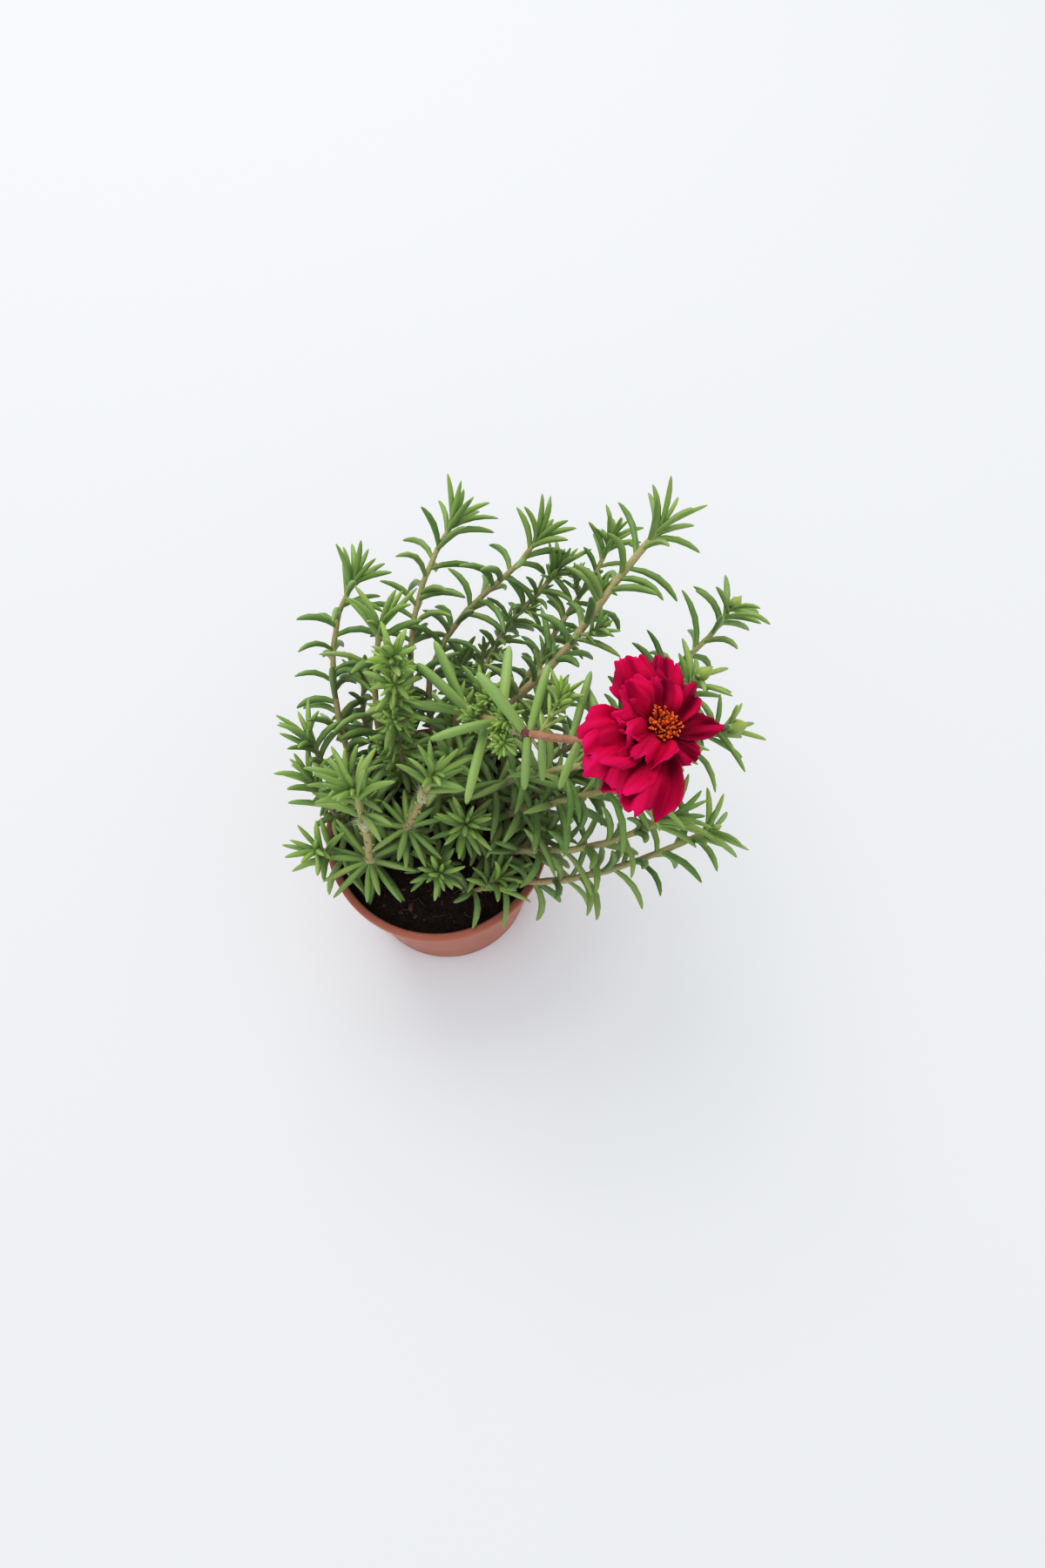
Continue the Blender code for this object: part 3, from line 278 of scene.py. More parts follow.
# Each stem: its route from the soil to its tip, its radius at the root, the length of its leaves, the share
# of it that is bare at the root, and its side shoots as (share of the stem, turn about it in degrees). Some
# also have worn, the stretch that has lost its leaves as two shares of the stem, or a bud of some radius. The
# one with a calyx bears the bloom, and its tube's rings stand closer together.
STEMS = {
    "flower_stem": row(
        [(0.004, 0.021), (0.008, 0.0295, 0.122), (0.013, 0.0305, 0.149), (0.0225, 0.02, 0.169),
        (0.04, 0.005, 0.188), (0.059, -0.0015, 0.1965), (0.078, -0.0036, 0.1985), (0.085, -0.0035, 0.205)],
        0.0018, 0.022, 0.22, calyx=True, step=0.01),
    "stem_tall_right": row(
        [(0.014, 0.034), (0.035, 0.048, 0.122), (0.053, 0.058, 0.141), (0.078, 0.086, 0.16),
        (0.095, 0.104, 0.17)], 0.0018, 0.022, 0.28, [(0.5, 150), (0.66, 340), (0.74, 110)]),
    "stem_tall_middle": row(
        [(-0.012, 0.019), (-0.014, 0.021, 0.112), (-0.014, 0.027, 0.136), (-0.012, 0.031, 0.16),
        (-0.011, 0.039, 0.184)], 0.0015, 0.015, 0.2, [(0.48, 140), (0.58, 20), (0.7, 200), (0.82, 60)]),
    "stem_front_middle": row(
        [(-0.014, -0.005), (-0.011, -0.009, 0.115), (-0.002, -0.006, 0.145), (0.004, -0.002, 0.163)],
        0.0015, 0.018, 0.24, worn=(0.52, 0.86)),
    "stem_front_left": row(
        [(-0.026, -0.012), (-0.027, -0.02, 0.102), (-0.025, -0.016, 0.13), (-0.027, -0.006, 0.158)],
        0.0017, 0.021, 0.2, worn=(0.44, 0.8)),
    "stem_left_back": row(
        [(-0.02, 0.025), (-0.025, 0.036, 0.106), (-0.025, 0.054, 0.13), (-0.021, 0.07, 0.15)],
        0.0014, 0.022, 0.24, [(0.7, 10)]),
    "stem_left_arch": row(
        [(-0.031, 0.011), (-0.041, 0.036, 0.106), (-0.045, 0.065, 0.122), (-0.042, 0.082, 0.133),
        (-0.034, 0.094, 0.144)], 0.0014, 0.021, 0.2),
    "stem_back_left": row(
        [(-0.01, 0.03), (-0.012, 0.059, 0.108), (-0.01, 0.085, 0.124), (-0.003, 0.108, 0.132),
        (0.008, 0.126, 0.14)], 0.0014, 0.021, 0.24),
    "stem_back_middle": row(
        [(0.0, 0.036), (-0.004, 0.068, 0.106), (0.004, 0.082, 0.114), (0.018, 0.095, 0.125),
        (0.035, 0.105, 0.135), (0.046, 0.115, 0.146)], 0.0014, 0.02, 0.24),
    "stem_back_right": row(
        [(0.01, 0.025), (0.017, 0.06, 0.1), (0.023, 0.075, 0.108), (0.033, 0.089, 0.116),
        (0.048, 0.102, 0.124), (0.055, 0.109, 0.13)], 0.0013, 0.018, 0.28, [(0.55, 120)]),
    "stem_far_right": row(
        [(0.022, 0.032), (0.037, 0.061, 0.104), (0.048, 0.077, 0.113), (0.059, 0.092, 0.12),
        (0.073, 0.112, 0.127), (0.078, 0.121, 0.134)], 0.0013, 0.017, 0.28, [(0.6, 60), (0.78, 220)]),
    "stem_budded_upper": row(
        [(0.031, 0.022), (0.069, 0.038, 0.108), (0.109, 0.068, 0.118), (0.123, 0.08, 0.126),
        (0.129, 0.087, 0.132)], 0.0014, 0.021, 0.24, bud=0.0024),
    "stem_budded_middle": row(
        [(0.034, 0.012), (0.068, 0.026, 0.115), (0.099, 0.041, 0.134), (0.11, 0.047, 0.146)],
        0.0014, 0.02, 0.26, [(0.6, 100)], bud=0.0027),
    "stem_budded_lower": row(
        [(0.034, 0.003), (0.076, 0.018, 0.104), (0.108, 0.028, 0.12), (0.124, 0.03, 0.132)],
        0.0014, 0.02, 0.26, bud=0.0032),
    "stem_right_upper": row(
        [(0.018, 0.011), (0.031, 0.01, 0.122), (0.045, 0.006, 0.144), (0.07, 0.006, 0.158),
        (0.092, 0.012, 0.166)], 0.0015, 0.023, 0.2),
    "stem_right_middle": row(
        [(0.017, 0.001), (0.034, 0.001, 0.108), (0.05, -0.003, 0.13), (0.067, -0.001, 0.141),
        (0.084, -0.004, 0.148)], 0.0015, 0.023, 0.2),
    "stem_right_sweep": row(
        [(0.019, -0.01), (0.04, -0.015, 0.105), (0.063, -0.018, 0.118), (0.083, -0.014, 0.126),
        (0.098, -0.009, 0.133)], 0.0015, 0.021, 0.18),
    "stem_right_front": row(
        [(0.021, -0.02), (0.046, -0.026, 0.094), (0.067, -0.025, 0.102), (0.094, -0.018, 0.11),
        (0.117, -0.01, 0.119)], 0.0015, 0.022, 0.16, bud=0.0016),
    "short_stem_front": row(
        [(-0.002, -0.012), (0.0, -0.019, 0.096), (0.003, -0.026, 0.108)], 0.0012, 0.016, 0.35),
    "short_stem_centre": row(
        [(0.008, 0.003), (0.012, -0.005, 0.105), (0.015, -0.011, 0.13)], 0.0012, 0.017, 0.35),
    "short_stem_back": row(
        [(0.004, 0.04), (0.007, 0.061, 0.096), (0.011, 0.079, 0.102)], 0.0012, 0.014, 0.4),
    "short_stem_left": row(
        [(-0.037, -0.001), (-0.046, 0.006, 0.1), (-0.054, 0.016, 0.112)], 0.0012, 0.018, 0.35),
    "short_stem_right": row(
        [(0.012, -0.027), (0.02, -0.028, 0.09), (0.027, -0.026, 0.098)], 0.0012, 0.019, 0.4),
    "short_stem_right_rim": row(
        [(0.033, -0.008), (0.041, -0.009, 0.098), (0.049, -0.007, 0.108)], 0.0012, 0.019, 0.35),
    "short_stem_left_front": row(
        [(-0.035, -0.012), (-0.044, -0.016, 0.099), (-0.048, -0.017, 0.112)], 0.0012, 0.019, 0.35),
    "stem_left_inner": row(
        [(-0.022, 0.003), (-0.027, 0.001, 0.112), (-0.033, 0.006, 0.138)], 0.0013, 0.019, 0.28),
    "stem_left_outer": row(
        [(-0.037, 0.017), (-0.048, 0.022, 0.106), (-0.053, 0.031, 0.121)], 0.0013, 0.018, 0.28),
    "stem_centre": row(
        [(-0.001, 0.009), (0.003, 0.008, 0.112), (0.009, 0.013, 0.14)], 0.0013, 0.019, 0.28),
    "stem_centre_back": row(
        [(0.01, 0.017), (0.015, 0.033, 0.112), (0.021, 0.044, 0.134)], 0.0013, 0.019, 0.28),
    "stem_centre_right": row(
        [(0.026, 0.006), (0.043, 0.011, 0.103), (0.062, 0.016, 0.119)], 0.0013, 0.019, 0.28),
    "short_stem_left_back": row(
        [(-0.024, 0.034), (-0.034, 0.05, 0.099), (-0.032, 0.065, 0.112)], 0.0012, 0.018, 0.35),
    "short_stem_behind": row(
        [(0.024, 0.018), (0.036, 0.034, 0.108), (0.05, 0.048, 0.118)], 0.0012, 0.017, 0.35),
}
print("stems in the table:", len(STEMS))

# %% The flower stem's own leaves and the petals
# The flower stem's own large leaves, as they lie: x of the root on the stem, the tip, and fullest radius
FLOWER_LEAVES = [
    (0.0165, (-0.0034, 0.0423, 0.169), 0.0019),
    (0.0150, (0.0032, 0.0527, 0.168), 0.0019),
    (0.0135, (-0.0094, 0.0308, 0.156), 0.0018),
    (0.0280, (0.0036, 0.0052, 0.181), 0.0019),
    (0.0250, (0.0170, -0.0165, 0.170), 0.0017),
    (0.0300, (0.0330, 0.0445, 0.180), 0.0019),
    (0.0385, (0.0213, 0.0252, 0.197), 0.0020),
    (0.0405, (0.0475, 0.0280, 0.198), 0.0015),
    (0.0400, (0.0386, -0.0128, 0.176), 0.0016),
    (0.0450, (0.0453, -0.0100, 0.178), 0.0014),
    (0.0555, (0.0626, 0.0238, 0.201), 0.0013),
    (0.0690, (0.0604, 0.0206, 0.198), 0.0017),
    (0.0580, (0.0511, -0.0163, 0.187), 0.0013),
]
# The flower stem's side shoots: x of the root on the stem, and the tip
FLOWER_SHOOTS = [
    (0.0150, (0.0198, 0.0178, 0.170)),
    (0.0225, (0.0262, 0.0238, 0.177)),
    (0.0310, (0.0330, 0.0115, 0.187)),
    (0.0440, (0.0525, 0.0155, 0.199)),
    (0.0290, (0.0312, 0.0030, 0.182)),
]

# Each petal: turn about the bloom in degrees, length, half width, tilt from the bloom's axis at the
# base and at the edge in degrees, height of its folds, the folds' phase in radians, and how pointed
# it is, from 0 to 1
OUTER_PETALS = [
    (250, 0.0350, 0.0124, 60, 94, 0.0018, 0.4, 0.0),
    (223, 0.0330, 0.0135, 58, 96, 0.0016, 2.6, 0.0),
    (201, 0.0300, 0.0120, 50, 98, 0.0018, 3.6, 0.0),
    (119, 0.0280, 0.0105, 54, 82, 0.0018, 4.4, 0.1),
    (88, 0.0260, 0.0078, 58, 80, 0.0012, 5.2, 0.0),
    (56, 0.0200, 0.0074, 50, 88, 0.0024, 1.4, 0.2),
    (4, 0.0214, 0.0062, 62, 84, 0.0010, 2.4, 0.8),
    (316, 0.0144, 0.0062, 62, 98, 0.0014, 3.6, 0.2),
]
INNER_PETALS = [
    (234, 0.0225, 0.0100, 12, 102, 0.0028, 1.2, 0.0),
    (184, 0.0190, 0.0090, 34, 84, 0.0022, 2.6, 0.1),
    (140, 0.0220, 0.0100, 26, 80, 0.0020, 4.0, 0.1),
    (94, 0.0185, 0.0085, 34, 76, 0.0014, 5.4, 0.1),
]
print("large leaves:", len(FLOWER_LEAVES), "petals:", len(OUTER_PETALS), "and", len(INNER_PETALS))


# %% [markdown]
# A smooth route is a row of cubic pieces whose tangents at each point look along its neighbours. A leaf's
# axis is simpler: three control points of a quadratic curve, which leave the stem at the leaf's spread.

# %% Routes and axes
def unit(vector):
    return vector / np.linalg.norm(vector)


def frame_of(heading):
    """A heading of length one, and two directions square to it."""
    heading = unit(np.array(heading, float))
    u = unit(np.cross(heading, (0.2, 0.1, 1.0)))
    return heading, u, np.cross(heading, u)


def around(turn, u, v):
    """The direction at this turn from u towards v."""
    return math.cos(turn) * u + math.sin(turn) * v


def smooth_route(stem):
    """Points along a stem: straight up out of the soil, then through its route."""
    x, y = stem["route"][0]
    knots = np.array([(x, y, SOIL_TOP + 0.003)] + stem["route"][1:], float)
    chords = np.linalg.norm(np.diff(knots, axis=0), axis=1)
    tangents = np.empty_like(knots)
    tangents[0] = (0, 0, 1)
    tangents[-1] = BLOOM_AXIS if "calyx" in stem else (knots[-1] - knots[-2]) / chords[-1]
    for i in range(1, len(knots) - 1):
        before, after = (knots[i] - knots[i - 1]) / chords[i - 1], (knots[i + 1] - knots[i]) / chords[i]
        tangents[i] = (before * chords[i] + after * chords[i - 1]) / (chords[i] + chords[i - 1])
    fine = [np.array((x, y, SOIL_TOP - ROOT_DEPTH))]
    for i, chord in enumerate(chords):
        for t in np.linspace(0, 1, 24, endpoint=False):
            fine.append((2 * t**3 - 3 * t**2 + 1) * knots[i] + (t**3 - 2 * t**2 + t) * chord * tangents[i]
                        + (3 * t**2 - 2 * t**3) * knots[i + 1] + (t**3 - t**2) * chord * tangents[i + 1])
    fine.append(knots[-1])
    return np.array(fine)


def along(route, distances):
    """Points of a route at these distances from its start."""
    reach = np.concatenate([[0], np.cumsum(np.linalg.norm(np.diff(route, axis=0), axis=1))])
    return np.stack([np.interp(distances, reach, route[:, k]) for k in range(3)], axis=1)


def route_length(route):
    return float(np.linalg.norm(np.diff(route, axis=0), axis=1).sum())


def ring_frames(points):
    """Two directions square to a path at each of its points, carried along it without twist."""
    tangents = np.gradient(points, axis=0)
    tangents /= np.linalg.norm(tangents, axis=1)[:, None]
    side = np.cross(tangents[0], (0.31, 0.95, 0.05))
    sides = []
    for tangent in tangents:
        side = unit(side - tangent * (side @ tangent))
        sides.append(side)
    sides = np.array(sides)
    return sides, np.cross(tangents, sides)


def leaf_axis(root, heading, outward, length, spread, recurve):
    """A leaf's curved axis: it leaves the stem at the spread angle and bends back."""
    start = around(spread, heading, outward)
    end = unit(around(spread + recurve, heading, outward) + np.array((0, 0, -LEAF_SAG)))
    middle = root + 0.5 * length * start
    return np.array([root, middle, middle + 0.5 * length * end])


def bezier(controls, shares):
    t = np.asarray(shares)[:, None]
    return (1 - t) ** 2 * controls[0] + 2 * t * (1 - t) * controls[1] + t**2 * controls[2]


def leaf_radius(share):
    return np.interp(share, [0, 0.12, 0.45, 0.8, 1.0], [0.62, 0.78, 1.0, 0.72, 0.18])


print("route lengths:", [round(route_length(smooth_route(s)), 3) for s in list(STEMS.values())[:3]])


# %% [markdown]
# Leaves must not cut through each other. All that has grown is kept as round samples, and a new leaf is
# tried in several bends against them. A leaf that is clear in none of its bends is left out.

# %% Keeping leaves apart
class Thicket:
    """Round samples of all that has grown, so that what grows next can be bent clear of it."""

    def __init__(self):
        self.centres = np.empty((0, 3))
        self.radii = np.empty(0)
        self.owners = np.empty(0, int)
        self.gap = CLEARANCE
        self.low, self.high = None, None

    def add(self, centres, radii, owner):
        self.centres = np.vstack([self.centres, centres])
        self.radii = np.concatenate([self.radii, radii])
        self.owners = np.concatenate([self.owners, np.full(len(radii), owner)])

    def is_clear(self, centres, radii, owner):
        """Whether round samples stay off the others, the pot, the soil and the ground."""
        if self.low is not None and ((centres - radii[:, None] < self.low).any()
                                     or (centres + radii[:, None] > self.high).any()):
            return False
        apart = np.linalg.norm(self.centres[None] - centres[:, None], axis=2)
        room = apart - self.radii[None] - radii[:, None]
        if (room[:, self.owners != owner] < self.gap).any():
            return False
        rooted = len(centres) // 3  # the third by the root may stand in its own stem
        if (room[rooted:, self.owners == owner] < min(self.gap, 0)).any():
            return False
        reach = np.hypot(centres[:, 0], centres[:, 1])
        low = centres[:, 2] < POT_HEIGHT + radii + CLEARANCE
        within = reach + radii + CLEARANCE < inner_radius(SOIL_TOP)
        beyond = reach - radii - CLEARANCE > LIP_RADIUS
        if (low & ~within & ~beyond).any():
            return False
        above_soil = centres[:, 2] - radii > SOIL_TOP + SOIL_BUMP + CLEARANCE
        return bool((above_soil | beyond).all() and (centres[:, 2] - radii > CLEARANCE).all())

    def takes(self, controls, thickness, owner):
        """Adds a leaf if it is clear, and says whether it was."""
        centres, radii = bezier(controls, LEAF_SAMPLES), thickness * leaf_radius(LEAF_SAMPLES)
        clear = self.is_clear(centres, radii, owner)
        if clear:
            self.add(centres, radii, owner)
        return clear


# What a leaf tries when its place is taken: turns about the stem, then less or more spread, in degrees
BENDS = [(turn, lean) for lean in (0, -14, 12, -26, 22) for turn in (0, 18, -18, 36, -36, 56, -56)]
# How far the tip of one of the flower stem's large leaves is lifted or lowered instead
LIFTS = (0, 0.002, -0.002, 0.004, -0.004, 0.007, -0.007, 0.010, -0.010)


def grow_leaf(thicket, owner, root, frame, turn, length, thickness, spread, recurve, fullness=FULLNESS):
    """The first bend of a leaf that is clear of its neighbours, as control points, or None."""
    heading, u, v = frame
    for swing, lean in BENDS:
        outward = around(turn + math.radians(swing), u, v)
        controls = leaf_axis(root, heading, outward, length, spread + math.radians(lean), recurve)
        if thicket.takes(controls, fullness * thickness, owner):
            return controls
    return None


def lay_leaf(thicket, owner, root, tip, thickness):
    """A leaf with a given tip, lifted or lowered until it is clear, or None."""
    for lift in LIFTS:
        end = np.array(tip) + (0, 0, lift)
        controls = np.array([root, (root + end) / 2 + (0, 0, 0.10 * np.linalg.norm(end - root)), end])
        if thicket.takes(controls, FULLNESS * thickness, owner):
            return controls
    return None


print("bends that a leaf may try:", len(BENDS))


# %% Leaves along a stem
def station_frame(route, distance):
    """A place on a stem and the directions along and across it there."""
    behind, here = along(route, [max(distance - 0.002, 0), distance])
    return here, frame_of(here - behind)


def youth_at(distance, length):
    """From 0 on the old part of a stem to 1 at its tip."""
    return min(max((distance - length + TIP_ZONE) / TIP_ZONE, 0), 1)


def off_worn(distances, worn, length):
    """The distances that aren't on the stretch that has lost its leaves."""
    return distances[(distances < worn[0] * length) | (distances > worn[1] * length)]


def leaf_stations(length, bare, crown, crown_leaves, worn=(1, 1)):
    spaced = off_worn(np.arange(bare * length, length - crown * 1.2, LEAF_PITCH), worn, length)
    return np.concatenate([spaced, length - crown * np.linspace(0.95, 0.15, crown_leaves)])


def grow_leaves(thicket, owner, route, leaf_length, bare, draw, full_size=1.0,
                crown=(CROWN, TIP_LEAVES), young_spread=YOUNG_SPREAD, worn=(1, 1)):
    """The leaves of the solids on one stem or shoot, as (control points, thickness, youth)."""
    length = route_length(route)
    leaves = []
    turn = draw.uniform(0, 2 * math.pi)
    for distance in leaf_stations(length, bare, *crown, worn):
        root, frame = station_frame(route, distance)
        youth = youth_at(distance, length)
        turn += GOLDEN_TURN + math.radians(draw.uniform(-12, 12))
        size = 1.14 * leaf_length * (1 - 0.12 * youth**1.5) * draw.uniform(0.88, 1.08) * full_size
        thickness = (0.00135 + 0.020 * (leaf_length - 0.018)) * (1 - 0.22 * youth) * full_size**0.5
        spread = OLD_SPREAD + youth * (young_spread - OLD_SPREAD) + math.radians(draw.uniform(-7, 7))
        recurve = OLD_RECURVE + youth * (YOUNG_RECURVE - OLD_RECURVE) + math.radians(draw.uniform(-12, 12))
        grown = grow_leaf(thicket, owner, root, frame, turn, size, thickness, spread, recurve)
        if grown is not None:
            leaves.append((grown, thickness, youth))
    return leaves


def tube_points(stem, route):
    length = route_length(route)
    count = max(6, round(length / stem.get("step", STEM_STEP)))
    return np.vstack([route[0], along(route, np.linspace(ROOT_DEPTH, length, count))])


def shoot_route(route, share, turn):
    """A side shoot's short route, out of the stem's axil and up towards the light."""
    start = share * route_length(route)
    root, ahead = along(route, [start, start + 0.002])
    heading, u, v = frame_of(ahead - root)
    out = around(math.radians(turn), u, v)
    tip = root + SHOOT_LENGTH * (0.55 * heading + 0.75 * out + np.array((0, 0, 0.35)))
    return bezier(np.array([root, root + 0.5 * SHOOT_LENGTH * out, tip]), np.linspace(0, 1, 8))


def route_at_x(route, x):
    """The point of the flower stem's route at this x, past its upright foot."""
    bend = int(np.argmax(route[:, 0] > FLOWER_FOOT))
    return np.array([np.interp(x, route[bend:, 0], route[bend:, k]) for k in range(3)])


def placed_shoot(route, x, tip):
    root = route_at_x(route, x)
    return bezier(np.array([root, (root + tip) / 2 + (0, 0, -0.001), tip]), np.linspace(0, 1, 8))


def bud_place(stem, route):
    """A bud's centre and heading: on its stem's tip, and nodding outwards."""
    heading = unit((route[-1] - route[-2]) * (1, 1, BUD_NOD))
    return route[-1] + heading * stem["bud"] * 0.9, heading


print("stations on a 100 mm stem:", len(leaf_stations(0.1, 0.2, CROWN, TIP_LEAVES)))


# %% [markdown]
# ## The bloom's surfaces
# A petal is a strip that narrows to a claw at its base. Its length line tips outwards from the bloom's axis,
# and folds grow towards its edge. The solids' petals are as smooth as that. The fine ones get a frill on top:
# nicks in the edge, crinkles and pleats, and blunter ends on the long petals. The function works on whole
# arrays, because each fine petal has several hundred points.

# %% Petal surface
# Petals longer than this have blunt ends
LONG_PETAL = 0.029


def bloom_frame():
    across = BLOOM_AXIS.cross(Vector((0, 1, 0))).normalized()
    across = -across if across.x < 0 else across
    return np.array(across), np.array(BLOOM_AXIS.cross(across)), np.array(BLOOM_AXIS)


def petal_width(v):
    return np.interp(v, [0, 0.15, 0.35, 0.6, 0.85, 1.0], [0.20, 0.36, 0.70, 0.96, 1.0, 0.94])


def ruffle(u, v, edge, phase):
    """How far a fine petal rises and falls, as a share of its half width."""
    far = np.clip(edge, 0, None)
    crinkle = (0.5 * np.sin(7.1 * u + 1.7 * phase) + 0.32 * np.sin(15.0 * u + 2.2 * phase + 2.0 * v)
               + 0.20 * np.sin(29.0 * u + phase - 3.0 * v))
    swell = (0.05 * np.sin(9.0 * v + 5.0 * u + phase)
             + 0.12 * np.sin(5.3 * u + 4.1 * v + phase) * np.sin(6.7 * v - 2.3 * u))
    pleat = np.sin(13.0 * u + 2.0 * phase + 2.0 * v)
    return 0.20 * crinkle * far**2.3 + swell * v + 0.048 * pleat * far**1.2


def petal_points(petal, u, v, frill=0.0):
    """Points on a petal's middle surface: u runs across it from -1 to 1, v from its base to its edge."""
    turn, length, half_width, base_tilt, edge_tilt, fold, phase, pointed = petal
    turn = math.radians(turn)
    u, v = np.asarray(u, float), np.asarray(v, float)
    corner, full = (0.21, 1.05) if frill and length > LONG_PETAL else (0.30, 1.0)
    round_edge = 1 - corner * np.abs(u) ** 2.6 + 0.035 * np.cos(2.2 * np.pi * u + phase)
    pointed_edge = 1 - 0.55 * np.abs(u) ** 1.2
    edge = v * (round_edge + pointed * (pointed_edge - round_edge))
    nick = (0.45 * np.sin(11 * u + 2 * phase) + 0.30 * np.sin(23 * u + phase)
            + 0.2 * np.sin(41 * u + 3 * phase))
    edge = edge * (1 + frill * 0.050 * nick * v**6)
    slope = math.radians(edge_tilt - base_tilt)
    base = math.radians(base_tilt)
    tilt = base + slope * edge
    rise = length * (np.sin(tilt) - math.sin(base)) / slope
    run = length * (math.cos(base) - np.cos(tilt)) / slope + CUP_RADIUS * 0.55
    width = half_width * full * petal_width(edge)
    lift = 0.30 * width * u * u * (1 - 0.7 * edge) + fold * edge**1.6 * np.sin(2.1 * np.pi * u + phase)
    lift = lift + frill * half_width * ruffle(u, v, edge, phase)
    out = run - lift * np.cos(tilt)
    up = rise + lift * np.sin(tilt) + CUP_HEIGHT * 0.45
    side = u * width
    x = out * math.cos(turn) - side * math.sin(turn)
    y = out * math.sin(turn) + side * math.cos(turn)
    across, forward, axis = bloom_frame()
    return np.array(BLOOM_SEAT) + x[..., None] * across + y[..., None] * forward + up[..., None] * axis


def bloom_samples():
    """Places on the petals that leaves keep clear of."""
    us, vs = np.meshgrid(np.linspace(-1, 1, 17), np.linspace(0.05, 1, 15), indexing="ij")
    places = [petal_points(petal, us.ravel(), vs.ravel()) for petal in OUTER_PETALS + INNER_PETALS]
    places.append(np.array(BLOOM_SEAT) + np.outer(np.linspace(0.002, 0.014, 9), np.array(BLOOM_AXIS)))
    return np.vstack(places)


print("petal places:", bloom_samples().shape)


# %% [markdown]
# First the solids' own leaves grow, in the same order and from the same seeds, so that they fall in the
# same places. Everything that isn't a leaf is sampled before them, so that they know where to stay out.

# %% Leaves of the solids
SAMPLE_STEP = 0.0012
PETAL_ROOM = 0.0012
SHOOT_ROOM = 0.0010


def sample_wood(thicket, owner, stem, route, shoots):
    """Round samples of a stem, its shoots, its bud and the sky over the bud."""
    fine = along(route, np.arange(0, route_length(route), SAMPLE_STEP))
    thicket.add(fine, np.full(len(fine), stem["radius"] * 1.02), owner)
    for shoot in shoots:
        thicket.add(shoot, np.full(len(shoot), SHOOT_ROOM), owner)
    if "bud" in stem:
        centre, heading = bud_place(stem, route)
        body = centre + np.outer(stem["bud"] * np.linspace(-0.3, 1.5, 4), heading)
        over = centre + np.outer(np.linspace(0, BUD_SKY, 4), (0, -0.35, 1))
        thicket.add(np.vstack([body, over]), np.full(8, 0.8 * stem["bud"]), owner)


def grow_solid_leaves(thicket):
    """Each stem's route, shoots and leaves as in the solids, and how many samples precede the leaves."""
    plant = {}
    petal_samples = bloom_samples()
    thicket.add(petal_samples, np.full(len(petal_samples), PETAL_ROOM), -1)
    for owner, (name, stem) in enumerate(STEMS.items()):
        route = tube_points(stem, smooth_route(stem))
        if "calyx" in stem:
            shoots = [placed_shoot(route, x, np.array(tip)) for x, tip in FLOWER_SHOOTS]
        else:
            shoots = [shoot_route(route, share, turn) for share, turn in stem["shoots"]]
        plant[name] = {"route": route, "shoots": shoots, "leaves": []}
        sample_wood(thicket, owner, stem, route, shoots)
    first_leaf = len(thicket.radii)
    for owner, (name, stem) in enumerate(STEMS.items()):
        draw = random.Random(owner + 11)
        grown = plant[name]
        route = grown["route"]
        if "calyx" in stem:
            for x, tip, thickness in FLOWER_LEAVES:
                laid = lay_leaf(thicket, owner, route_at_x(route, x), tip, thickness)
                if laid is not None:
                    grown["leaves"].append((laid, thickness, 0.0))
            route = route[route[:, 0] < FLOWER_FOOT]
        young = OPEN_SPREAD if "bud" in stem else YOUNG_SPREAD
        grown["leaves"] += grow_leaves(thicket, owner, route, stem["leaf"], stem["bare"], draw,
                                       young_spread=young, worn=stem.get("worn", (1, 1)))
        size = 0.34 if "calyx" in stem else 0.5
        for shoot in grown["shoots"]:
            grown["leaves"] += grow_leaves(thicket, owner, shoot, stem["leaf"], 0.6, draw, size,
                                           (SHOOT_CROWN, SHOOT_LEAVES))
    return plant, first_leaf


thicket = Thicket()
plant, first_leaf = grow_solid_leaves(thicket)
print("leaves of the solids:", sum(len(grown["leaves"]) for grown in plant.values()))


# %% [markdown]
# Then the fine leaves fill the places between them, closer together than a faceted model can afford, and the
# tips get the small upright leaves of a growing point. The short stems in front are dense, so they are gone
# over twice. The long ones behind stay open, with fewer and longer leaves. Three stems carry tufts of young
# leaves in their axils, the flower stem's shoots end in stars, and a whorl of long leaves stands under each
# worn stretch.
# The fine leaves are slimmer than the solids' and may touch, so all leaf samples shrink and the gap closes.

# %% Leaves between them
OPEN_STEP, OPEN_SIZE = 0.0046, 1.40
CLOSE_STEP, CLOSE_SIZE = 0.0043, 1.24
AGAIN_STEP, AGAIN_SIZE = 0.0052, 0.85
TIP_SPREAD = math.radians(16)
TOUCH = -0.0002
BOX_MARGIN = 0.0003
CLOSE_STEMS = {"stem_tall_middle", "stem_front_middle", "stem_front_left", "stem_left_inner", "stem_centre",
               "stem_centre_back", "stem_centre_right"}
CLOSE_STEMS |= {name for name in STEMS if name.startswith("short_stem") and name != "short_stem_behind"}

# Stems whose many leaves are smaller, and by how much
TUFTED = {"stem_tall_middle": 0.80, "stem_far_right": 0.74, "stem_back_right": 0.74,
          "short_stem_back": 0.8, "short_stem_front": 0.9, "short_stem_centre": 0.9}
# Stems with bunches of young leaves in their axils: where these start, as a share, and their pitch
AXIL_TUFTS = {"stem_tall_middle": (0.30, 0.0050), "stem_back_right": (0.45, 0.0090),
              "stem_left_inner": (0.5, 0.008)}
TUFT_LEAVES, TUFT_LENGTH, TUFT_THICKNESS, TUFT_OPENING = 7, 0.0092, 0.00060, 50
WHORL_LEAVES, WHORL_THICKNESS = 9, 0.00125


